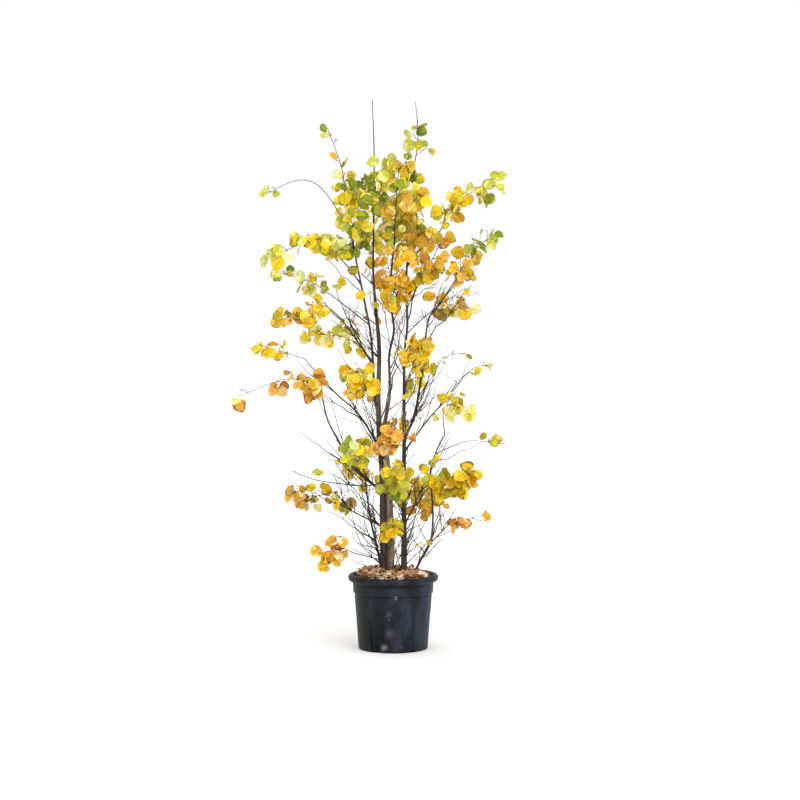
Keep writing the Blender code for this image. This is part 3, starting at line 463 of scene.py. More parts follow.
# Each bough: the limb that it leaves, how high, and the places that it passes
BOUGHS = {
    "stem_fork_left": ("stem_main", 97, ((-8.3, 4.9, 114, 0.6), (-9, 5.2, 127, 0.56),
        (-9.9, 5, 138.5, 0.52), (-12, 4.6, 150, 0.47), (-14.6, 4, 163, 0.41), (-18.9, 3, 184.5, 0.33),
        (-20.3, 3, 193, 0.3))),
    "bough_left_strong": ("stem_main", 68, ((-13.6, 0, 77, 0.56), (-19.8, -2, 82.5, 0.5),
        (-22.6, -3, 89.5, 0.44), (-28.5, -5, 101, 0.38), (-31, -6, 111.5, 0.32))),
    "bough_left_mid": ("stem_main", 87, ((-12.3, 6, 99, 0.42), (-17, 9, 105, 0.38), (-26.4, 14, 113, 0.32),
        (-39, 19, 126.5, 0.22))),
    "bough_left_high": ("stem_fork_left", 126, ((-19, 0, 140.5, 0.34), (-24.2, -4, 147, 0.29),
        (-29.5, -8, 152, 0.23))),
    "bough_upper_left": ("stem_fork_left", 161, ((-19.5, 3, 168, 0.27), (-22.5, 1.5, 171.5, 0.22))),
    "bough_left_low": ("stem_main", 53, ((-11, 1.4, 57, 0.34), (-18, 6.5, 60, 0.29),
        (-22.4, 9.5, 62, 0.23))),
    "bough_left_bare": ("stem_main", 73.5, ((-12, -5, 72.5, 0.3), (-21.5, -8, 73.5, 0.26),
        (-34.3, -11, 75.8, 0.19), (-44.5, -13, 80, 0.12))),
    "bough_right_high": ("stem_right", 92, ((8.8, -1.8, 102, 0.54), (11.2, -3.2, 113, 0.5),
        (13.8, -5, 134, 0.44), (15.6, -6, 146, 0.4), (20.4, -7, 152.5, 0.36), (27, -8.5, 162.5, 0.28))),
    "bough_right_mid": ("stem_right", 87, ((10.1, 3.8, 94, 0.38), (16.3, 6.4, 102, 0.34),
        (24.2, 8.4, 110.5, 0.28), (31.2, 10, 119.5, 0.21))),
    "bough_top_right": ("stem_right", 169, ((14.1, 3, 179, 0.31), (19.8, 4, 184, 0.25))),
    "bough_right_low": ("stem_right", 54, ((9.5, -4, 64.5, 0.33), (12.5, -6, 70.5, 0.3),
        (18, -9, 75.5, 0.26))),
    "bough_right_lower": ("sprout_right", 46, ((21.4, 4.6, 51, 0.28), (24.2, 6, 54, 0.22))),
}

# Each mass: its limb, the height it leaves it (None at the limb's tip), the way of its
# own stem, its girth, the bare share of that stem, its count of leaves, and its main tint
MASSES = {
    "spray_fork_left": ("stem_fork_left", None, ((-21.3, 2.8, 200), (-22.6, 2.4, 212), (-28.6, 2, 229)),
        6.4, 0, 21, "yellow"),
    "tuft_crown_left": ("stem_fork_left", 170, ((-17.5, -6, 184), (-15, -10, 204)), 11, 0.1, 42, "green"),
    "tuft_crown_left_back": ("stem_main", 172, ((-9, 15, 184), (-8, 27, 202)), 11.5, 0.2, 32, "yellow"),
    "tuft_leader": ("stem_main", 190, ((-5.5, -1, 202), (-4.5, -2, 213.5)), 9.5, 0.1, 26, "green"),
    "tuft_crown_front": ("stem_front", 177, ((1, -20, 192.5), (2.5, -31, 211)), 11.5, 0.2, 39, "olive"),
    "tuft_crown_back": ("stem_right", 176, ((6.5, 20, 188), (5, 35, 208)), 11, 0.25, 28, "green"),
    "tuft_crown_right": ("stem_right", 168, ((10.5, -7, 181), (8.5, -10, 200)), 10.5, 0.15, 34, "gold"),
    "spray_leader_right": ("stem_right", None, ((11, 2, 226), (9.8, 2.2, 240.5)), 9, 0.3, 7, "green"),
    "tuft_crown_low": ("stem_front", 154, ((1, -23, 161), (2, -35, 176)), 9.5, 0.1, 29, "gold"),
    "tuft_crown_low_back": ("stem_right", 153, ((0, 24, 161), (-3, 40, 173)), 9.5, 0.2, 22, "orange"),
    "spray_upper_left": ("bough_upper_left", None, ((-27, -1, 180), (-36, -4, 180), (-46, -5.5, 176),
        (-54, -6, 173)), 9, 0, 31, "yellow"),
    "spray_left_high": ("stem_fork_left", 143, ((-22, 10, 152), (-36.5, 12, 162), (-50.5, 13, 166)),
        7.2, 0.5, 15, "green"),
    "spray_left_gold": ("bough_left_high", None, ((-36, -9, 149.5), (-41, -10.5, 145.5), (-48, -12, 147.5)),
        8.2, 0.2, 22, "gold"),
    "spray_left_bright": ("stem_fork_left", 127, ((-17, 15, 135), (-27, 22, 138), (-38, 26, 138.5)),
        7.6, 0.3, 20, "yellow"),
    "spray_left_mid": ("bough_left_mid", None, ((-47.5, 20.5, 130), (-60.5, 21, 134)),
        7, 0.5, 11, "yellow"),
    "spray_far_left": ("bough_left_strong", None, ((-35.5, -7, 116.5), (-40, -8, 119), (-49.5, -9, 119),
        (-67.5, -10, 112)), 8.6, 0, 22, "orange"),
    "tuft_left_centre": ("stem_main", 107, ((-12, -21, 118), (-15.5, -34, 124)), 8.6, 0.4, 19, "gold"),
    "tuft_left_back": ("stem_fork_left", 110, ((-14, 30, 113), (-18, 50, 121)), 9, 0.55, 14, "olive"),
    "tuft_centre": ("stem_right", 114, ((8, -19, 124.5), (11.5, -34, 136)), 8.6, 0.4, 22, "gold"),
    "tuft_centre_back": ("stem_right", 107, ((10, 28, 115), (10, 47, 129)), 9, 0.45, 14, "yellow"),
    "spray_right_pale": ("bough_right_mid", None, ((36.5, 10.6, 124), (42, 11, 125)), 6.4, 0, 3, "yellow"),
    "spray_right_arch": ("stem_right", 97, ((14, -9, 111), (21, -12, 128), (31, -13, 131)),
        4.6, 0.6, 3, "tan"),
    "spray_right_bright": ("sprout_right", None, ((22, -3, 104.5), (25, -6, 108.5), (32, -8, 105)),
        7.6, 0.35, 15, "yellow"),
    "spray_far_right": ("sprout_right", 86, ((27, 5.5, 89.5), (35, 6.5, 91.5), (50, 7, 90)),
        5, 0.75, 3, "olive"),
    "tuft_mid_front": ("stem_right", 92, ((6, -20, 95), (1, -33, 96.5), (-5, -38, 94.5)),
        7.6, 0.4, 22, "orange"),
    "tuft_mid_back": ("stem_main", 84, ((-1, 28, 93), (3, 49, 99)), 8.6, 0.45, 14, "gold"),
    "tuft_left_green": ("stem_main", 85, ((-12.5, -16, 87.5), (-18, -30, 91.5)), 8.8, 0.3, 24, "green"),
    "tuft_left_low_back": ("sprout_left", None, ((-16, 20, 78), (-20, 38, 79.5)), 9, 0.35, 12, "yellow"),
    "tuft_low_front": ("stem_front", 64, ((0.5, -18, 72), (0.5, -32, 82)), 8.6, 0.35, 26, "olive"),
    "tuft_low_back": ("stem_right", 60, ((7, 24, 64), (9, 42, 71.5)), 9.4, 0.45, 15, "gold"),
    "tuft_foot": ("stem_front", 47, ((-1, -8, 52), (-1.5, -12, 55.5)), 7, 0.4, 9, "olive"),
    "tuft_right_low": ("stem_right", 51, ((10.5, 12, 58), (16, 23, 66.5)), 9, 0.5, 25, "gold"),
    "spray_right_low": ("bough_right_low", None, ((23, -12, 76.5), (27.5, -14.5, 75.5), (33, -15.5, 74.5)),
        10.6, 0, 37, "gold"),
    "spray_right_lowest": ("bough_right_lower", None, ((27, 6.8, 54.5), (33, 7.8, 56.5), (39.5, 8.5, 58)),
        7.2, 0, 9, "orange"),
    "spray_left_low": ("bough_left_low", None, ((-29.5, 14, 66.5), (-37, 17, 65.5), (-44, 18.5, 66)),
        8.4, 0, 19, "tan"),
    "tuft_bottom_left": ("stem_main", 38.5, ((-16.5, -7.5, 43), (-23, -9.5, 45.5), (-29, -11, 42.5)),
        8, 0.5, 18, "orange"),
    "spray_arch_left": ("stem_fork_left", 183.5, ((-30.5, 0.5, 202), (-41, -1, 206.5), (-54.5, -2, 201)),
        4.6, 0.86, 3, "green"),
    "spray_top_right": ("bough_top_right", None, ((25, 5.5, 193), (33.5, 6.5, 201), (46.5, 7, 204.5)),
        8.6, 0.25, 36, "yellow"),
    "spray_right_high": ("bough_right_high", None, ((33, -10, 173), (43, -12, 182.5)), 8.8, 0, 25, "gold"),
    "tuft_right_inner": ("stem_right", 160, ((14.5, -13, 168), (21, -21, 180)), 8.2, 0.3, 21, "gold"),
    "spray_right_mid": ("stem_right", 139, ((13.5, 13, 146), (22.5, 20, 152), (31, 26, 150)),
        9, 0.45, 18, "tan"),
}


def linear(tint):
    """A colour given out of 255, as linear light."""
    return tuple((value / 255) ** 2.2 for value in tint)


def any_turn(seeded):
    """A random angle of the full turn."""
    return seeded.uniform(0, FULL_TURN)


def any_way(seeded):
    """A random step, of up to one along each axis."""
    return Vector([seeded.uniform(-1, 1) for _ in range(3)])


def level_way(turn):
    """The level direction at an angle."""
    return Vector((math.cos(turn), math.sin(turn), 0.0))


def across_at(along, turn):
    """A direction square to another, turned about it."""
    across = along.orthogonal().normalized()
    across.rotate(Matrix.Rotation(turn, 3, along))
    return across


def curve_through(places, steps):
    """A smooth curve through places, each a row of numbers, as a list of tuples."""
    curve = []
    last = len(places) - 1
    for i in range(last):
        before = places[max(i - 1, 0)]
        here, there = places[i], places[i + 1]
        after = places[min(i + 2, last)]
        for step in range(steps):
            t = step / steps
            curve.append(tuple(
                b + 0.5 * t * (c - a + t * (2 * a - 5 * b + 4 * c - d + t * (3 * (b - c) + d - a)))
                for a, b, c, d in zip(before, here, there, after)
            ))
    curve.append(tuple(places[-1]))
    return curve


def smooth_path(route, steps):
    """The smooth curve through a route of places, as vectors."""
    return [Vector(place) for place in curve_through(route, steps)]


def resampled(curve, gap):
    """The same curve, with any radius at its places, in even steps of about gap."""
    table = np.array(curve, float)
    runs = np.linalg.norm(np.diff(table[:, :3], axis=0), axis=1)
    along = np.concatenate([[0.0], np.cumsum(runs)])
    count = max(2, int(along[-1] / gap) + 1)
    places = np.linspace(0.0, along[-1], count)
    return np.stack([np.interp(places, along, table[:, i]) for i in range(table.shape[1])], axis=1)


def nodes_along(path, spacing):
    """Places in even steps along a path, after its first, each with the path's direction."""
    table = resampled(path, spacing * CM)
    return [(Vector(high), Vector(high - low).normalized()) for low, high in zip(table, table[1:])]


def length_of(path):
    """A path's length."""
    return sum((high - low).length for low, high in zip(path, path[1:]))


def place_between(path, at):
    """The place on a path at a number of its places, whole or broken."""
    low = int(at)
    return path[low].lerp(path[low + 1], at - low)


def linked(name, data):
    """A new object in the scene."""
    obj = bpy.data.objects.new(name, data)
    bpy.context.scene.collection.objects.link(obj)
    return obj


class Finish:
    """A procedural material under construction, with the shader and its object coordinates."""

    def __init__(self, name, roughness, colour=None):
        self.material = bpy.data.materials.new(name)
        self.material.use_nodes = True
        self.nodes = self.material.node_tree.nodes
        self.links = self.material.node_tree.links
        self.shader = self.nodes["Principled BSDF"]
        self.shader.inputs["Roughness"].default_value = roughness
        if colour:
            self.shader.inputs["Base Color"].default_value = (*linear(colour), 1.0)
        self.place = self.node("TexCoord", "Object", {})

    def node(self, kind, output, inputs, **settings):
        """An output of a new node, whose inputs are linked to a pattern or set to a value."""
        node = self.nodes.new("ShaderNode" + kind)
        for setting, value in settings.items():
            setattr(node, setting, value)
        for name, value in inputs.items():
            if isinstance(value, bpy.types.NodeSocket):
                self.links.new(value, node.inputs[name])
            else:
                node.inputs[name].default_value = value
        return node.outputs[output]

    def noise(self, scale, detail=4.0, stretch=(1.0, 1.0, 1.0)):
        """A noise pattern at a scale, stretched along the axes."""
        place = self.node("Mapping", "Vector", {"Vector": self.place, "Scale": stretch})
        return self.node("TexNoise", "Fac", {"Vector": place, "Scale": scale, "Detail": detail})

    def ramp(self, source, stops):
        """Colours along a pattern, each stop a position and a colour out of 255."""
        shades = self.node("ValToRGB", "Color", {"Fac": source})
        elements = shades.node.color_ramp.elements
        while len(elements) < len(stops):
            elements.new(0.5)
        for element, (position, colour) in zip(elements, stops):
            element.position = position
            element.color = (*linear(colour), 1.0)
        return shades

    def blend(self, share, first, second):
        """Two colour patterns mixed by a third pattern."""
        return self.node("Mix", "Result", {"Factor": share, "A": first, "B": second}, data_type="RGBA")

    def product(self, first, second):
        """Two patterns multiplied."""
        return self.node("Math", "Value", {0: first, 1: second}, operation="MULTIPLY")

    def spread(self, source, span, result):
        """A pattern's span stretched to another."""
        limits = {"From Min": span[0], "From Max": span[1], "To Min": result[0], "To Max": result[1]}
        return self.node("MapRange", "Result", {"Value": source, **limits})

    def along(self, axis, low, high):
        """How far along an axis a place is between two lengths in metres, from 0 to 1."""
        split = self.node("SeparateXYZ", axis, {"Vector": self.place})
        return self.spread(split, (low, high), (0.0, 1.0))

    def band(self, axis, rise, fall):
        """A band across an axis that rises over one pair of lengths and falls over another."""
        return self.product(self.along(axis, *rise), self.along(axis, *fall))

    def near(self, place, reach):
        """How near a place is to a named place, from 0 at the reach in metres to 1 on the spot."""
        apart = self.node("VectorMath", "Value", {0: self.place, 1: place}, operation="DISTANCE")
        return self.spread(apart, (0.0, reach), (1.0, 0.0))

    def colour(self, source):
        """The colour from a pattern."""
        self.links.new(source, self.shader.inputs["Base Color"])

    def roughness(self, source, low, high):
        """Roughness that follows a pattern between two values."""
        self.links.new(self.spread(source, (0.0, 1.0), (low, high)), self.shader.inputs["Roughness"])

    def bump(self, source, strength, depth):
        """Relief from a pattern, of a depth in metres."""
        relief = {"Strength": strength, "Distance": depth, "Height": source}
        self.links.new(self.node("Bump", "Normal", relief), self.shader.inputs["Normal"])


def bark_finish(name, shades, upper=None):
    """Bark streaked along the stem, with worn patches. It takes the upper colours high up."""
    finish = Finish(name, 0.85)
    streaks = finish.noise(38.0, 6.0, (1.0, 1.0, 0.22))
    patches = finish.noise(9.0, 3.0)
    base = finish.ramp(streaks, tuple(zip(BARK_STOPS, shades)))
    worn = finish.ramp(streaks, tuple(zip(WORN_STOPS, shades[1:])))
    colour = finish.blend(finish.ramp(patches, WORN_PATCHES), base, worn)
    if upper:
        above = finish.ramp(streaks, tuple(zip(BARK_STOPS, upper)))
        colour = finish.blend(finish.along("Z", *PALE_FADE), colour, above)
    finish.colour(colour)
    finish.roughness(streaks, 0.72, 0.95)
    finish.bump(finish.noise(160.0, 5.0, (1.0, 1.0, 0.3)), 0.6, 0.0012)
    return finish.material


def leaf_finish(name, colour):
    """A leaf of one plain tint, with a soft uneven sheen and a fine grain."""
    finish = Finish("leaf_" + name, 0.5, colour)
    finish.shader.inputs["Specular IOR Level"].default_value = 0.4
    finish.roughness(finish.noise(90.0, 3.0), 0.36, 0.62)
    finish.bump(finish.noise(150.0), 0.9, 0.003)
    return finish.material


def plain_finish(name, low, high, scale, roughness, grain):
    """Two near colours along a fine pattern, with a grain."""
    finish = Finish(name, roughness)
    pattern = finish.noise(scale, 5.0)
    finish.colour(finish.ramp(pattern, tuple(zip(PLAIN_STOPS, (low, high)))))
    finish.roughness(pattern, roughness - 0.1, roughness + 0.08)
    finish.bump(finish.noise(scale * 3.0), 0.4, grain)
    return finish.material


def pot_finish():
    """Black plastic with a blue cast, dust with painted shade on its left, spots, scuffs, and painted shade
    below the lip and in two flutes.
    """
    finish = Finish("pot_plastic", 0.45)
    finish.shader.inputs["Specular IOR Level"].default_value = 0.2
    film = finish.noise(13.0, 6.0, (1.0, 1.0, 0.32))
    # The left side darker and less blue: a dusty tint with painted shade
    dust_and_shade, plastic = finish.ramp(film, POT_DUST_AND_SHADE), finish.ramp(film, POT_PLASTIC)
    wall = finish.blend(finish.along("X", *POT_DUST_AND_SHADE_SPAN), dust_and_shade, plastic)
    spots = finish.ramp(finish.noise(23.0, 3.0), POT_SPOTS)
    wall = finish.blend(spots, wall, finish.ramp(finish.noise(95.0, 6.0), POT_SPOT_DUST))
    speckle = finish.noise(240.0)
    worn = finish.ramp(speckle, SCUFF_SPECKLE)
    # Light scuffs, and near-black patches of painted shade in the flute right of the front
    for place, reach, colour in POT_SCUFFS_AND_SHADE:
        darker = tuple(part * SCUFF_SHADE for part in colour)
        scuff_and_shade = finish.ramp(film, tuple(zip(SCUFF_STOPS, (colour, darker))))
        wall = finish.blend(finish.product(finish.near(place, reach), worn), wall, scuff_and_shade)
    # Painted shade: a near-black band below the lip, and one low in the flute left of the front
    painted_shade = finish.ramp(film, POT_PAINTED_SHADE)
    wall = finish.blend(finish.band(*SHADE_BELOW_LIP), wall, painted_shade)
    # Painted shade in the recess of the flute left of the front, strongest low down
    in_flute = finish.product(finish.band(*SHADE_IN_FLUTE), finish.along("Z", *FLUTE_SHADE_RISE))
    finish.colour(finish.blend(in_flute, wall, painted_shade))
    finish.roughness(film, 0.36, 0.62)
    finish.bump(speckle, 0.22, 0.0005)
    return finish.material


def soil_finish():
    """Dark moist peat with paler crumbs."""
    finish = Finish("soil_crumb", 0.95)
    pattern = finish.noise(140.0, 6.0)
    finish.colour(finish.ramp(pattern, SOIL_SHADES))
    finish.roughness(pattern, 0.85, 1.0)
    finish.bump(finish.noise(260.0, 6.0), 0.9, 0.002)
    return finish.material


class Sheaf:
    """Points and faces gathered for one joined piece, with a material mark for each face."""

    def __init__(self):
        self.points = []
        self.faces = []
        self.marks = []
        self.count = 0

    def add(self, points, faces, marks=()):
        """More points and faces. Faces without marks take the piece's first material."""
        self.points.append(np.asarray(points, float))
        self.faces.extend(tuple(index + self.count for index in face) for face in faces)
        self.marks.extend(marks or [0] * len(faces))
        self.count += len(points)

    def piece(self, name, materials, slot):
        """The joined piece, shown and riding on the one body."""
        mesh = bpy.data.meshes.new(name)
        mesh.from_pydata(np.concatenate(self.points).tolist(), [], self.faces)
        for finish in materials:
            mesh.materials.append(finish)
        mesh.polygons.foreach_set("material_index", self.marks)
        mesh.shade_smooth()
        mesh.update()
        obj = linked(name, mesh)
        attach(obj, "root")
        return obj


def ring_faces(rings, sides, first=0):
    """The faces between rings of points, from the first point's number on."""
    faces = []
    for low in range(first, first + (rings - 1) * sides, sides):
        for side in range(sides):
            beside = (side + 1) % sides
            faces.append((low + side, low + beside, low + sides + beside, low + sides + side))
    return faces


def tube_faces(rings, sides):
    """The faces of a closed tube of rings, each with the same count of points."""
    last = (rings - 1) * sides
    ends = tuple(range(sides))[::-1], tuple(range(last, last + sides))
    return [ends[0], *ring_faces(rings, sides), ends[1]]


def tube_points(path, radii, sides, relief, flat_foot):
    """The points of a tube. Relief gives the radius's share at an angle round a place."""
    path = [Vector(place) for place in path]
    last = len(path) - 1
    across = None
    points = []
    for i, place in enumerate(path):
        along = (path[min(i + 1, last)] - path[max(i - 1, 0)]).normalized()
        if flat_foot and i == 0:
            along = UP
        if across is None:
            across = along.orthogonal()
        across = (across - along * across.dot(along)).normalized()
        up = along.cross(across)
        for side in range(sides):
            angle = FULL_TURN * side / sides
            radius = float(radii[i])
            if relief:
                radius *= relief(angle, place)
            points.append(place + radius * (math.cos(angle) * across + math.sin(angle) * up))
    return points


def add_tube(sheaf, path, radii, sides, relief=None, flat_foot=False, mark=0):
    """A closed tube along a path, whose first ring can be cut level."""
    faces = tube_faces(len(path), sides)
    sheaf.add(tube_points(path, radii, sides, relief, flat_foot), faces, [mark] * len(faces))


def bark_relief(seed, strength):
    """Long shallow furrows and small lumps, other ones for each seed."""
    shift = Vector([seed * step for step in RELIEF_SHIFT])

    def share(angle, place):
        """The radius's share at an angle round a place."""
        around = math.cos(angle) * RELIEF_AROUND, math.sin(angle) * RELIEF_AROUND
        spot = Vector((*around, place.z * RELIEF_ALONG))
        furrow, fine = (noise.noise(spot * scale + shift) for scale in (FURROWS[0], FINE_LUMPS[0]))
        return 1.0 + strength * (FURROWS[1] * furrow + FINE_LUMPS[1] * fine)

    return share


def with_flare(places):
    """Adds the swelling at a stem's foot."""
    foot, above = places[:2]
    radius = foot[3]

    def place(rise, swelling):
        """A place of the flare, so many radii above the soil."""
        share = rise * radius / (above[2] - foot[2])
        across, back = (low + share * (high - low) for low, high in zip(foot[:2], above[:2]))
        return across, back, SOIL_HEIGHT + rise * radius, radius * swelling

    return (*(place(*ring) for ring in FLARE), *places[1:])


def place_at_height(limb, height):
    """Where a limb's axis passes a height, with its radius there, in metres."""
    path, radii = limb
    level = height * CM
    for low, high, r_low, r_high in zip(path, path[1:], radii, radii[1:]):
        if low.z <= level <= high.z:
            share = (level - low.z) / (high.z - low.z)
            return low.lerp(high, share), r_low + share * (r_high - r_low)
    return path[-1], radii[-1]


def limb_of(places):
    """A limb's coarse path and radii in metres, as the solids have them."""
    curve = curve_through(places, LIMB_STEPS)
    return [Vector(place[:3]) * CM for place in curve], [place[3] * CM for place in curve]


def make_stems(limbs):
    """The stems, each a tube with bark relief from the soil to its tip."""
    sheaf = Sheaf()
    for seed, (name, places) in enumerate(STEMS.items()):
        flared = with_flare(places)
        limbs[name] = limb_of(flared)
        table = resampled(curve_through(flared, FINE_LIMB_STEPS), STEM_RING_GAP) * CM
        relief = bark_relief(seed, STEM_RELIEF)
        mark = int(name == PALE_STEM)
        add_tube(sheaf, table[:, :3], table[:, 3], STEM_SIDES, relief, flat_foot=True, mark=mark)
    barks = [bark_finish(*BARK_GREY), bark_finish(*BARK_OLIVE, BARK_GREY[1])]
    stems = sheaf.piece("stem_bark", barks, "bark")
    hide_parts(*STEMS)


def make_boughs(limbs):
    """The boughs, each grown out of its limb with a collar at its root."""
    sheaf = Sheaf()
    for seed, (name, (carrier, height, places)) in enumerate(BOUGHS.items()):
        start, _ = place_at_height(limbs[carrier], height)
        coarse = ((*(start / CM), places[0][3] * BOUGH_FOOT), *places)
        limbs[name] = limb_of(coarse)
        table = resampled(curve_through(coarse, FINE_LIMB_STEPS), BOUGH_RING_GAP) * CM
        table[:COLLAR_RINGS, 3] *= np.linspace(BOUGH_COLLAR, 1.0, COLLAR_RINGS)
        relief = bark_relief(BOUGH_SEEDS + seed, BOUGH_RELIEF)
        add_tube(sheaf, table[:, :3], table[:, 3], BOUGH_SIDES, relief)
    boughs = sheaf.piece("bough_bark", [bark_finish(*BARK_GREY)], "bark")
    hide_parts(*BOUGHS)


class Mass:
    """One mass of leaves: its stem's path, its space, and what it is made of."""

    def __init__(self, name, spec, limbs):
        carrier, height, places, girth, bare, leaves, tint = spec
        self.name = name
        self.girth = girth * CM
        self.bare = bare
        self.leaves = round(leaves * LEAF_SHARE)
        self.mix = MIXES[tint]
        self.random = random.Random(name)
        self.middles = []
        limb, radii = limbs[carrier]
        if height is None:
            onward = (limb[-1] - limb[-2]).normalized()
            self.start_radius = radii[-1]
            route = [limb[-1], limb[-1] + onward * STRAIGHT_START * CM]
        else:
            start, radius = place_at_height((limb, radii), height)
            self.start_radius = min(radius * MASS_STEM_SHARE, MASS_STEM_RADIUS * CM)
            route = [start]
        route += [Vector(place) * CM for place in places]
        self.path = smooth_path(route, MASS_STEM_STEPS)
        self.fine = smooth_path(route, FINE_STEPS)
        if height is None:
            self.path[1:MASS_STEM_STEPS] = []
        self.leafy = self.fine[int(bare * (len(self.fine) - 1)):]

    def distance(self, point):
        """How far a point is from the leafy part of the stem, in girths."""
        nearest = math.inf
        first = int(self.bare * (len(self.path) - 1))
        for low, high in zip(self.path[first:], self.path[first + 1:]):
            run = high - low
            share = max(0.0, min(1.0, (point - low).dot(run) / run.length_squared))
            nearest = min(nearest, (point - low - run * share).length)
        return nearest / self.girth

    def is_green_tip(self, place):
        """Whether a place lies so far out on its spray that its leaves are still green."""
        run = self.path[-1] - self.path[0]
        share = (place - self.path[0]).dot(run) / run.length_squared
        return share > GREEN_TIPS.get(self.name, math.inf)

    def is_bare_tip(self, place, kind):
        """Whether a place lies so near to a bare tip that no leaf or no twig grows there."""
        reach = (self.leafy[-1] - self.leafy[0]).length
        return (place - self.leafy[-1]).length < reach * BARE_TIPS.get(self.name, (0, 0))[kind]

    def has_room(self, middle, tip):
        """Whether a leaf stays in the mass's space and clear of the middles of those grown before."""
        if self.distance(tip) > 1.0:
            return False
        if any((middle - other).length < LEAF_APART * CM for other in self.middles):
            return False
        self.middles.append(middle)
        return True

    def place_along(self, share):
        """The place on the finer stem nearest to a share of the solid's stem, and its direction."""
        at = share * (len(self.path) - 1)
        low = min(int(at), len(self.path) - 2)
        run = self.path[low + 1] - self.path[low]
        rough = self.path[low] + run * (at - low)
        return min(self.fine, key=lambda place: (place - rough).length), run.normalized()


# The piece for twigs, for buds and for stalks, and one for the leaves of each tint
Crown = namedtuple("Crown", "twigs buds stalks leaves")


def side_twigs(mass, count, phase):
    """A count of side twigs along the mass's stem, by the rule that the solids' twigs follow."""
    twigs = []
    turn = any_turn(mass.random)
    for i in range(count):
        share = min(mass.bare + (1 - mass.bare) * (i + phase) / count, TWIG_LAST)
        start, along = mass.place_along(share)
        turn += GOLDEN_ANGLE
        twigs.append((start, twig_end(mass, start, along, turn)))
    return twigs


def twig_end(mass, start, along, turn):
    """Where a side twig ends."""
    lean = mass.random.uniform(*TWIG_LEAN)
    reach = (mass.girth - 0.5 * SOLID_LEAF_LENGTH * CM) * mass.random.uniform(*TWIG_REACH)
    reach = max(reach, TWIG_SHORTEST * CM)
    aim = (across_at(along, turn) + along * lean + UP * TWIG_LIFT).normalized()
    return start + aim * reach


def bent(start, end, bend, seeded):
    """A slightly crooked path from start to end."""
    run = end - start
    side = any_way(seeded)
    side -= run.normalized() * side.dot(run.normalized())
    path = []
    for i in range(TWIG_PLACES):
        share = i / (TWIG_PLACES - 1)
        arch = bend * 4 * share * (1 - share)
        path.append(start + run * share + side * arch * run.length)
    return path


def finer_twigs(mass, paths):
    """Small shoots that branch from the side twigs."""
    finer = []
    for path in paths:
        run = path[-1] - path[0]
        for _ in range(FINE_TWIGS_PER_TWIG):
            start = place_between(path, mass.random.uniform(*FINE_TWIG_STARTS) * (TWIG_PLACES - 1))
            aim = (run.normalized() + any_way(mass.random).normalized() * FINE_TWIG_SPREAD).normalized()
            end = start + aim * run.length * mass.random.uniform(*FINE_TWIG_REACH)
            if mass.distance(end) <= 1.0:
                finer.append(bent(start, end, FINE_TWIG_BEND, mass.random))
    return finer


def leaf_places(mass, paths):
    """Every place for a leaf, in opposite pairs, with the shoot's direction and the spray."""
    places = []
    for spray, path in enumerate([mass.leafy] + paths):
        for node, along in nodes_along(path, LEAF_NODE_SPACING if spray else STEM_NODE_SPACING):
            if not mass.is_bare_tip(node, NO_LEAF):
                places += [(node, along, side, spray) for side in (-1, 1)]
    tip = mass.leafy[-1]
    reach = (tip - mass.leafy[0]).length
    slender = (reach / mass.girth - LEAF_THINNING_FROM) / LEAF_THINNING_OVER
    thinning = LEAF_TIP_THINNING * max(0.0, min(1.0, slender))

    def turn(found):
        """When a place gets its leaf: by chance, later towards the tip, but first at its end."""
        outward = 1.0 - min(1.0, (found[0] - tip).length / reach)
        chance = mass.random.random() + thinning * outward
        return chance if outward < LEAF_TIP_FIRST else 0.0

    return sorted(places, key=turn)


def leaf_points(size, seeded, limits=LIVING_BLADE):
    """The grid of one leaf's blade from its root at the origin, along Y, with its face up Z."""
    v = np.linspace(0.0, 1.0, LEAF_ROWS)[:, None]
    u = np.array(LEAF_CUTS)[None, :]
    side, out = np.sign(u), np.abs(u)
    shape = np.interp(v, *zip(*LEAF_SHAPE))
    half = 0.5 * seeded.uniform(*LEAF_BREADTH)
    edge = out ** 6
    scallop = 1 + LEAF_SCALLOP * edge * np.where(np.arange(LEAF_ROWS) % 2 == 0, 1, -1)[:, None]
    lopsided = 1 + seeded.uniform(-LEAF_LOPSIDED, LEAF_LOPSIDED) * side
    waves = np.sin(WOBBLE_WAVES[0] * v + WOBBLE_WAVES[1] * side + any_turn(seeded))
    x = u * shape * half * scallop * lopsided * (1 + LEAF_WOBBLE * edge * waves)
    y = v - LEAF_LOBE * (1 - v) ** 4 * np.sin(np.pi * out)
    fold, curl, wave = (seeded.uniform(*span) for span in limits)
    phase = any_turn(seeded)
    z = fold * np.abs(x) * (1 - FOLD_EASE * v)
    veins = np.abs(np.sin(np.pi * (LEAF_VEINS[0] * v - LEAF_VEINS[1] * out)))
    fade = (1 - out ** 3) * np.sin(np.pi * v) * np.minimum(1, QUILT_FROM_MIDRIB * out)
    z = z + LEAF_QUILT * veins * fade
    z = z + wave * u ** 2 * np.sin(2 * np.pi * (EDGE_WAVES[0] * v + EDGE_WAVES[1] * side) + phase)
    x = x + seeded.uniform(-LEAF_SIDEWAYS, LEAF_SIDEWAYS) * v ** 2
    bend = curl if abs(curl) > LEAST_CURL else LEAST_CURL
    along = (np.sin(bend * y) / bend) - z * np.sin(bend * y)
    lifted = -(1 - np.cos(bend * y)) / bend + z * np.cos(bend * y)
    return np.stack([x, along, lifted], axis=-1).reshape(-1, 3) * size


LEAF_COLUMNS = len(LEAF_CUTS)
LEAF_CELLS = [(row, column) for row in range(LEAF_ROWS - 1) for column in range(LEAF_COLUMNS - 1)]
LEAF_FACES = [
    (first, first + 1, first + 1 + LEAF_COLUMNS, first + LEAF_COLUMNS)
    for first in (row * LEAF_COLUMNS + column for row, column in LEAF_CELLS)
]


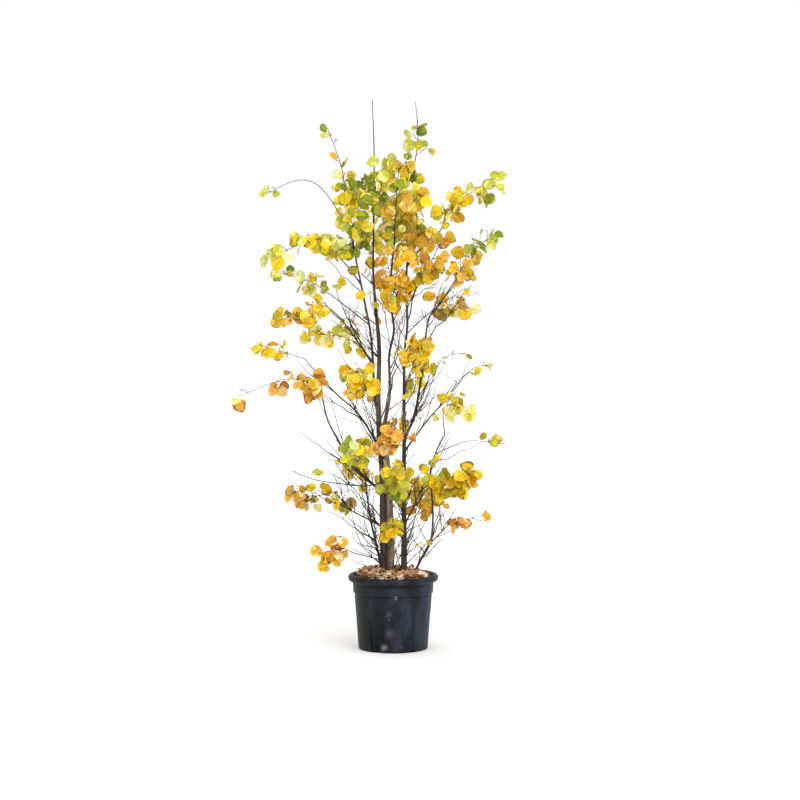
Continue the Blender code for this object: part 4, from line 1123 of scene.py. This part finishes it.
def leaf_marks(seeded):
    """The tint of each face of a leaf: plain, rim or midrib, blotch, or pale patch."""
    width = seeded.choice(RIM_WIDTHS)
    first_row = seeded.choice(RIM_FIRST_ROWS)
    spots = [
        (seeded.uniform(0, LEAF_ROWS - 1), seeded.uniform(0, LEAF_COLUMNS - 1),
         seeded.uniform(*BLOTCH_SIZES), seeded.choice((BLOTCH, PALE)))
        for _ in range(seeded.choice(BLOTCH_COUNTS))
    ]
    marks = []
    for row, column in LEAF_CELLS:
        mark = PLAIN
        for y, x, reach, kind in spots:
            if math.hypot(row - y, column - x) < reach * seeded.uniform(*BLOTCH_RAGGED):
                mark = kind
        at_edge = min(column, LEAF_COLUMNS - 2 - column) < width or row >= LEAF_ROWS - 1 - width
        at_midrib = column == LEAF_COLUMNS // 2 - 1 and row < LEAF_ROWS - MIDRIB_SHORT
        if at_midrib or (row >= first_row and at_edge):
            mark = RIM
        marks.append(mark)
    return marks


def turned_to(points, place, along, normal):
    """A leaf's points moved to a place, its length along one direction and its face to another."""
    side = along.cross(normal).normalized()
    face = side.cross(along)
    return points @ np.array([side, along, face]) + np.array(place)


def aim_of_leaf(seeded, along, side):
    """The ways of a leaf's stalk and of its blade, a little down, and the way that its face looks."""
    jitter = any_way(seeded)
    across = along.cross(UP)
    if across.length < LEAST_ACROSS:
        across = Vector((1, 0, 0))
    across.normalize()
    out = (across * side * STALK_ACROSS + along * STALK_ALONG + jitter * STALK_CHANCE).normalized()
    aim = (out - UP * LEAF_DROOP + jitter * LEAF_CHANCE).normalized()
    turn = any_turn(seeded)
    face = Vector((LEAF_FACING[0] * math.cos(turn), LEAF_FACING[1] * math.sin(turn), LEAF_FACING[2]))
    face -= aim * face.dot(aim)
    if face.length < LEAST_FACING:
        face = aim.orthogonal()
    return out, aim, face.normalized()


def pick(seeded, mix):
    """One tint out of a mix of tints and weights."""
    return seeded.choices(list(mix), mix.values())[0]


def grow_leaves(mass, paths, crown):
    """The mass's leaves on their stalks, tinted by spray."""
    spray_tints = {}
    grown = 0
    scale = LEAF_SIZE_BY_GIRTH[0] + LEAF_SIZE_BY_GIRTH[1] * mass.girth / CM
    for place, along, side, spray in leaf_places(mass, paths):
        if grown == mass.leaves:
            break
        spray_tints.setdefault(spray, pick(mass.random, mass.mix))
        for _ in range(LEAF_TRIES):
            size = mass.random.triangular(*LEAF_SIZES) * scale * CM
            tint = spray_tints[spray]
            if mass.random.random() < OTHER_TINT_SHARE:
                tint = pick(mass.random, mass.mix)
            if mass.is_green_tip(place):
                tint = TINTS[tint].greener
            if add_leaf(mass.random, place, along, side, size, tint, crown, mass):
                grown += 1
                break


def add_leaf(seeded, place, along, side, size, tint, crown, mass=None):
    """One leaf on its stalk, or none where it would leave its mass's space."""
    out, aim, face = aim_of_leaf(seeded, along, side)
    stalk = seeded.uniform(*PETIOLE) * CM
    middle = place + out * stalk * PETIOLE_SHARES[0]
    foot = middle + (out + aim).normalized() * stalk * PETIOLE_SHARES[1]
    if mass and not mass.has_room(foot + aim * size / 2, foot + aim * size):
        return False
    blade = turned_to(leaf_points(size, seeded), foot, aim, face)
    crown.leaves[tint].add(blade, LEAF_FACES, leaf_marks(seeded))
    radii = [PETIOLE_RADIUS * CM * share for share in PETIOLE_TAPER]
    stalk_path = [place, middle, foot + aim * size * PETIOLE_UNDER_LEAF]
    add_tube(crown.stalks, stalk_path, radii, PETIOLE_SIDES)
    return True


def add_twig(crown, path, radii, sides):
    """A tapered twig."""
    add_tube(crown.twigs, path, np.linspace(*radii, len(path)) * CM, sides)


def add_buds(seeded, path, crown):
    """A pair of small pointed buds at each node of a twig, and one at its tip."""
    for node, along in nodes_along(path, SPUR_SPACING):
        across = across_at(along, any_turn(seeded))
        for side in (-1, 1):
            add_bud(crown, node, (across * side + along * BUD_LEAN).normalized(), NODE_BUD)
    add_bud(crown, path[-1], (path[-1] - path[-2]).normalized(), TIP_BUD)


def add_bud(crown, place, aim, size):
    """A pointed bud, rooted in its twig."""
    path = [place - aim * BUD_ROOT * CM, place + aim * size * BUD_BELLY * CM, place + aim * size * CM]
    add_tube(crown.buds, path, [radius * CM for radius in BUD_RADII], BUD_SIDES)


def add_spurs(seeded, path, crown):
    """Short side spurs at some of a shoot's places, each with a bud at its end."""
    for low, high in zip(path, path[1:-1]):
        if seeded.random() > SPUR_CHANCE:
            continue
        along = (high - low).normalized()
        aim = (across_at(along, any_turn(seeded)) + along * SPUR_LEAN).normalized()
        end = high + aim * seeded.uniform(*SPUR_REACH) * CM
        spur = [high, high.lerp(end, 0.5), end]
        add_tube(crown.twigs, spur, np.array(SPUR_RADII) * CM, FINE_TWIG_SIDES)
        add_bud(crown, end, aim, SPUR_BUD)


def grow_bare_twig(seeded, crown, path, radii, sides):
    """A twig with its buds and spurs, and no leaf."""
    add_twig(crown, path, radii, sides)
    add_buds(seeded, path, crown)
    add_spurs(seeded, path, crown)


def grow_seen_twigs(limbs, crown):
    """The single twigs that the photo shows, each with buds and a few spurs."""
    seeded = random.Random("seen twigs")
    for carrier, height, places in SEEN_TWIGS:
        start, _ = place_at_height(limbs[carrier], height)
        path = smooth_path([start] + [Vector(place) * CM for place in places], SEEN_TWIG_STEPS)
        grow_bare_twig(seeded, crown, path, SEEN_TWIG_RADII, TWIG_SIDES)


def grow_shoots(limbs, crown):
    """Thin, nearly bare shoots that rise between the masses, some long and some short."""
    seeded = random.Random("shoots")
    for spacing, reaches, radii, forks, heights in SHOOT_RANKS:
        for path, limb_radii in limbs.values():
            turn = any_turn(seeded)
            for _ in range(round(length_of(path) / (spacing * CM))):
                at = seeded.random() * (len(path) - LIMB_TIP)
                start = place_between(path, at)
                turn += GOLDEN_ANGLE
                aside = math.hypot(start.x, start.y) / CM
                if heights[0] < start.z / CM < heights[1] and aside < SHOOT_WIDEST:
                    reach = seeded.triangular(*reaches) * CM
                    stout = min(1.0, limb_radii[int(at)] / (radii[0] * CM))
                    grow_shoot(seeded, crown, start, turn, reach, np.array(radii) * stout, forks)


def grow_shoot(seeded, crown, start, turn, reach, radii, forks):
    """One shoot, up and away from the middle, with its forks and at times two leaves at its tip."""
    out = level_way(turn)
    outward = Vector((start.x, start.y, 0.0))
    if outward.length > SHOOT_INSIDE * CM:
        out = (out + outward.normalized()).normalized()
    aim = (out + UP * seeded.uniform(*SHOOT_RISE)).normalized()
    shoot = crooked(start, aim * reach, seeded.uniform(*SHOOT_LIFT) * reach, seeded)
    grow_bare_twig(seeded, crown, shoot, radii, TWIG_SIDES)
    for _ in range(seeded.choice(forks)):
        fork = shoot[seeded.randrange(1, SHOOT_PLACES - 2)]
        branch_aim = (aim + any_way(seeded) * FORK_SPREAD + UP * FORK_LIFT).normalized()
        branch = crooked(fork, branch_aim * reach * seeded.uniform(*FORK_REACH), 0.0, seeded)
        grow_bare_twig(seeded, crown, branch, FINE_TWIG_RADII, FINE_TWIG_SIDES)
    if seeded.random() < SHOOT_LEAF_SHARE:
        add_end_leaves(seeded, shoot, crown)


def crooked(start, run, lift, seeded):
    """A shoot's path, which arches by a lift at its tip and kinks a little at each place."""
    step = run.length / (SHOOT_PLACES - 1)
    path = []
    for i in range(SHOOT_PLACES):
        share = i / (SHOOT_PLACES - 1)
        kink = any_way(seeded) * SHOOT_KINK * step
        path.append(start + run * share + UP * (lift * share * share) + kink * min(i, 1))
    return path


def add_end_leaves(seeded, shoot, crown):
    """A pair of small leaves at a shoot's tip."""
    aim = (shoot[-1] - shoot[-2]).normalized()
    for side in (-1, 1):
        tint = seeded.choice(SHOOT_TINTS)
        size = seeded.uniform(*SHOOT_LEAF_SIZES) * CM
        add_leaf(seeded, shoot[-1], aim, side, size, tint, crown)


def grow_mass(mass, seed, crown):
    """One mass: its stem, its side twigs and finer twigs, the leaves on them, and the buds."""
    radii = np.linspace(mass.start_radius, MASS_STEM_TIP_RADIUS * CM, len(mass.fine))
    add_tube(crown.twigs, mass.fine, radii, MASS_STEM_SIDES, bark_relief(MASS_SEEDS + seed, BOUGH_RELIEF))
    length = length_of(mass.path) * (1 - mass.bare)
    ends = side_twigs(mass, max(LEAST_TWIGS, round(length / (TWIG_SPACING * CM))), TWIG_PHASE)
    ends += side_twigs(mass, round(length / (EXTRA_TWIG_SPACING * CM)), EXTRA_TWIG_PHASE)
    sides = [bent(start, end, TWIG_BEND, mass.random) for start, end in ends]
    sides = [path for path in sides if mass.distance(path[-1]) <= 1.0]
    finer = finer_twigs(mass, sides)
    grow_leaves(mass, sides + finer, crown)
    sides, finer = (
        [path for path in paths if not mass.is_bare_tip(path[0], NO_TWIG)] for paths in (sides, finer)
    )
    for path in sides:
        add_twig(crown, path, TWIG_RADII, TWIG_SIDES)
    for path in finer:
        add_twig(crown, path, FINE_TWIG_RADII, FINE_TWIG_SIDES)
    for path in [mass.fine] + sides + finer:
        add_buds(mass.random, path, crown)


def make_masses(limbs):
    """All masses and shoots, as one piece each for twigs, buds, stalks and each tint of leaf."""
    crown = Crown(Sheaf(), Sheaf(), Sheaf(), {name: Sheaf() for name in TINTS})
    for seed, (name, spec) in enumerate(MASSES.items()):
        grow_mass(Mass(name, spec, limbs), seed, crown)
    grow_seen_twigs(limbs, crown)
    grow_shoots(limbs, crown)
    twigs = crown.twigs.piece("twigs", [bark_finish(*BARK_TWIG)], "bark")
    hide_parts(*MASSES)
    crown.buds.piece("buds", [plain_finish(*BUD_FINISH)], "bark")
    crown.stalks.piece("leaf_stalks", [plain_finish(*STALK_FINISH)], "foliage_yellow")
    finishes = {name: leaf_finish(name, tint.colour) for name, tint in TINTS.items()}
    for name, sheaf in crown.leaves.items():
        if sheaf.count:
            tint = TINTS[name]
            dealt = (name, tint.rim, tint.blotch, tint.pale)
            sheaf.piece("leaves_" + name, [finishes[part] for part in dealt], "foliage_" + tint.slot)


def nearest_flute(angle, first):
    """The number of the flute or notch nearest to an angle from the front, and the degrees to it."""
    turned = math.degrees(angle) - first + FLUTE_PITCH / 2
    number = int(turned // FLUTE_PITCH) % len(FLUTE_WEIGHTS)
    return number, abs(turned % FLUTE_PITCH - FLUTE_PITCH / 2)


def flute_depth(angle, height):
    """How far the pot's wall is set back at an angle from the front: shallow flutes with creases."""
    if not FLUTE_RANGE[0] < height < FLUTE_RANGE[1]:
        return 0.0
    ends = min(height - FLUTE_RANGE[0], FLUTE_RANGE[1] - height, 1.0)
    number, away = nearest_flute(angle, FLUTE_FIRST)
    flute = FLUTE_DEPTH * math.exp(-((away / FLUTE_HALF_ANGLE) ** FLUTE_SQUARENESS))
    share = CREASE_SHARES[0] + CREASE_SHARES[1] * max(0.0, 1 - height / CREASE_FADE)
    crease = CREASE_DEPTH * share * math.exp(-(((away - FLUTE_HALF_ANGLE) / CREASE_ANGLE) ** 2))
    return ends * FLUTE_WEIGHTS[number] * (flute + crease)


def notch_lift(angle):
    """How far the pot's bottom edge is raised at an angle from the front."""
    _, away = nearest_flute(angle, NOTCH_FIRST)
    return NOTCH_HEIGHT * math.exp(-((away / NOTCH_HALF_ANGLE) ** FLUTE_SQUARENESS))


def outline_from(radius, height, steps):
    """Places of an outline, as steps from a radius and a height."""
    return [(radius + out, height + up) for out, up in steps]


def pot_outline():
    """The pot's outline from under its foot, up the wall, over the rolled lip and down inside."""
    outline = list(FOOT_OUTLINE)
    for height in np.linspace(WALL_FOOT, POT_STEP_HEIGHT, WALL_RINGS)[:-1]:
        share = height / POT_STEP_HEIGHT
        outline.append((POT_BASE_RADIUS + share * (POT_STEP_RADIUS - POT_BASE_RADIUS), height))
    outline += outline_from(POT_STEP_RADIUS, POT_STEP_HEIGHT, STEP_OUTLINE)
    outline += outline_from(POT_NECK_RADIUS, POT_HEIGHT - POT_LIP_DEPTH, NECK_OUTLINE)
    middle = POT_HEIGHT - POT_LIP_DEPTH / 2
    for step in range(LIP_PLACES):
        angle = math.radians(-LIP_TURN + 2 * LIP_TURN * step / (LIP_PLACES - 1))
        outline.append((
            POT_LIP_RADIUS - LIP_ROUND + LIP_ROUND * math.cos(angle),
            middle + (POT_LIP_DEPTH / 2) * math.sin(angle) / math.sin(math.radians(LIP_TURN)),
        ))
    outline += outline_from(POT_NECK_RADIUS, POT_HEIGHT, TOP_OUTLINE)
    return outline + outline_from(POT_STEP_RADIUS, SOIL_HEIGHT, [INNER_FOOT])


def make_pot():
    """The pot with its flutes, the notches at its foot and its rolled lip."""
    outline = pot_outline()
    points = []
    for radius, height in outline:
        fluted = FLUTED_RADII[0] < radius < FLUTED_RADII[1]
        notched = NOTCHED_RADII[0] < radius < NOTCHED_RADII[1] and height < NOTCHED_BELOW
        for side in range(POT_SIDES):
            angle = FULL_TURN * side / POT_SIDES
            reach = radius - (flute_depth(angle, height) if fluted else 0.0)
            lift = notch_lift(angle) if notched else 0.0
            points.append((reach * math.sin(angle), -reach * math.cos(angle), max(height, lift)))
    sheaf = Sheaf()
    sheaf.add(np.array(points) * CM, ring_faces(len(outline), POT_SIDES))
    pot = sheaf.piece("pot_wall", [pot_finish()], "pot")
    pot.data.set_sharp_from_angle(angle=POT_SMOOTH)
    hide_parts("pot")


def mound(x, y):
    """The height of the loose top of the soil at a place, all in centimetres."""
    reach = math.hypot(x, y) / MOUND_RADIUS
    swell = noise.noise(Vector((x * SWELL_SCALE, y * SWELL_SCALE, SWELL_LAYER)))
    height = SOIL_HEIGHT + MOUND_RISE + MOUND_CROWN * (1 - reach ** 3)
    return height + MOUND_SWELL * swell * (1 - reach ** 4) - MOUND_TILT * x * (1 - reach)


def soil_ring(radius):
    """The places of one ring of the soil's points."""
    turns = [FULL_TURN * side / SOIL_SIDES for side in range(SOIL_SIDES)]
    return [(radius * math.cos(turn), radius * math.sin(turn)) for turn in turns]


def crumbly(x, y):
    """The height of the mound with its crumbs, never below the rim of the soil."""
    crumbs = noise.noise(Vector((x * CRUMB_SCALE, y * CRUMB_SCALE, 0.0)))
    return max(mound(x, y) + CRUMB_HEIGHT * crumbs, SOIL_HEIGHT + SOIL_LEAST)


def make_soil():
    """The soil as one body with an uneven top."""
    points = [(0.0, 0.0, mound(0, 0))]
    for ring in range(1, SOIL_RINGS + 1):
        points += [(x, y, crumbly(x, y)) for x, y in soil_ring(MOUND_RADIUS * ring / SOIL_RINGS)]
    for height in (SOIL_HEIGHT - SOIL_SHOULDER, SOIL_FOOT):
        points += [(x, y, height) for x, y in soil_ring(SOIL_SIDE_RADIUS)]
    faces = [(0, 1 + side, 1 + (side + 1) % SOIL_SIDES) for side in range(SOIL_SIDES)]
    faces += [(a, d, c, b) for a, b, c, d in ring_faces(SOIL_RINGS + 2, SOIL_SIDES, first=1)]
    faces.append(tuple(range(len(points) - 1, len(points) - 1 - SOIL_SIDES, -1)))
    sheaf = Sheaf()
    sheaf.add(np.array(points) * CM, faces)
    soil = sheaf.piece("soil_body", [soil_finish()], "soil")
    soil.data.set_sharp_from_angle(angle=SOIL_SMOOTH)
    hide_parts("soil")


def spot_on_soil(seeded, widest):
    """A random place on the soil, no farther than widest from its middle."""
    angle = any_turn(seeded)
    radius = widest * math.sqrt(seeded.random())
    return radius * math.cos(angle), radius * math.sin(angle)


def make_chips():
    """Bark chips strewn on the soil."""
    seeded = random.Random("soil")
    chips = Sheaf()
    for _ in range(CHIP_COUNT):
        add_chip(chips, seeded)
    chips.piece("bark_chips", [plain_finish(*CHIP_BROWN), plain_finish(*CHIP_TAN)], "bark")


def add_chip(chips, seeded):
    """One flat shard of bark, lying on the mound."""
    x, y = spot_on_soil(seeded, MOUND_RADIUS - CHIP_MARGIN)
    long, wide, thick = (seeded.uniform(*span) for span in CHIP_SIZES)
    turn = Matrix.Rotation(seeded.uniform(*CHIP_TURN), 3, "Z")
    turn = turn @ Matrix.Rotation(seeded.uniform(*CHIP_TILT), 3, "X")
    corners = [Vector((a * long, b * wide, -thick / 2)) for a, b in CHIP_OUTLINE]
    corners += [Vector((a * long * CHIP_TOP[0], b * wide * CHIP_TOP[1], thick / 2)) for a, b in CHIP_OUTLINE]
    place = Vector((x, y, mound(x, y) + CHIP_LIFT))
    faces = tube_faces(2, len(CHIP_OUTLINE))
    mark = int(seeded.random() < PALE_CHIP_SHARE)
    chips.add([(turn @ corner + place) * CM for corner in corners], faces, [mark] * len(faces))


def make_litter():
    """Dry fallen leaves that lie on the soil or stand round a stem, one piece for each tint."""
    seeded = random.Random("litter")
    litter = {name: Sheaf() for name in DRY_TINTS}
    for _ in range(LITTER_COUNT):
        add_lying_leaf(litter, seeded)
    for _ in range(STANDING_LEAVES):
        add_standing_leaf(litter, seeded)
    for name, sheaf in litter.items():
        finish = plain_finish("dry_" + name, *DRY_TINTS[name], *DRY_FINISH)
        sheaf.piece("litter_" + name, [finish], "foliage_tan")


def add_lying_leaf(litter, seeded):
    """One dry leaf on the mound, heaped higher on the left."""
    x, y = spot_on_soil(seeded, LITTER_RADIUS)
    size = seeded.uniform(*LITTER_SIZES)
    along = (level_way(any_turn(seeded)) + UP * seeded.uniform(*LITTER_SLOPE)).normalized()
    normal = Vector((*(seeded.uniform(*span) for span in LITTER_LEAN), 1.0)).normalized()
    heap = LITTER_HEAP[0] if x < HEAP_LEFT_OF else LITTER_HEAP[1]
    height = mound(x, y) + LITTER_LIFT + seeded.uniform(0.0, 1.0) * heap
    place = Vector((x, y, height)) - along * size / 2
    add_dry_leaf(litter[seeded.choice(list(litter))], place, along, normal, size, seeded)


def add_standing_leaf(litter, seeded):
    """One dry leaf that stands against the foot of a stem."""
    foot_x, foot_y = STEMS[STANDING_STEM][0][:2]
    out = level_way(any_turn(seeded))
    height = SOIL_HEIGHT + seeded.uniform(*STANDING_HEIGHTS)
    place = Vector((foot_x, foot_y, height)) + out * STANDING_OFF_STEM
    along = (out * STANDING_LEAN + UP).normalized()
    sheaf = litter[seeded.choice(list(litter))]
    add_dry_leaf(sheaf, place, along, out, seeded.uniform(*STANDING_SIZES), seeded)


def add_dry_leaf(sheaf, place, along, normal, size, seeded):
    """One dry leaf, skipped where it would reach through the pot's wall."""
    blade = turned_to(leaf_points(size, seeded, DRY_BLADE), place, along, normal)
    if np.hypot(blade[:, 0], blade[:, 1]).max() < POT_NECK_RADIUS - LITTER_OFF_WALL:
        sheaf.add(blade * CM, LEAF_FACES)


def aimed(direction):
    """The turn of a lamp or camera that looks in a direction."""
    return direction.to_track_quat("-Z", "Y").to_euler()


def make_lamp(name, direction, strength):
    """A soft even light that comes from one direction, the same over the whole floor."""
    lamp = bpy.data.lights.new(name, "SUN")
    lamp.energy = strength
    lamp.angle = LIGHT_SOFTNESS
    obj = linked(name, lamp)
    obj.location = direction
    obj.rotation_euler = aimed(-Vector(direction))


def make_floor():
    """The pale floor."""
    half = FLOOR_SIZE / 2
    mesh = bpy.data.meshes.new("floor")
    corners = [(-half, -half, 0), (half, -half, 0), (half, half, 0), (-half, half, 0)]
    mesh.from_pydata(corners, [], [(0, 1, 2, 3)])
    mesh.materials.append(plain_finish(*FLOOR_PAINT))
    floor = linked("floor", mesh)


def make_sky():
    """An even white sky."""
    world = bpy.data.worlds.new("sky")
    world.use_nodes = True
    background = world.node_tree.nodes["Background"]
    background.inputs["Color"].default_value = (1.0, 1.0, 1.0, 1.0)
    background.inputs["Strength"].default_value = SKY_STRENGTH
    bpy.context.scene.world = world


def make_camera():
    """The camera, and colours shown as they are."""
    camera = linked("camera", bpy.data.cameras.new("camera"))
    camera.data.lens = CAMERA_LENS
    camera.data.sensor_width = SENSOR_WIDTH
    camera.location = CAMERA_PLACE
    camera.rotation_euler = aimed(Vector(CAMERA_AIM) - Vector(CAMERA_PLACE))
    bpy.context.scene.camera = camera
    bpy.context.scene.view_settings.view_transform = "Standard"


def main():
    """The studio, then the plant from its stems to its leaves, and the pot with what lies in it."""
    make_floor()
    make_lamp("key", *KEY_LIGHT)
    make_lamp("back", *BACK_LIGHT)
    make_sky()
    make_camera()
    limbs = {}
    make_stems(limbs)
    make_boughs(limbs)
    make_masses(limbs)
    make_pot()
    make_soil()
    make_chips()
    make_litter()


main()
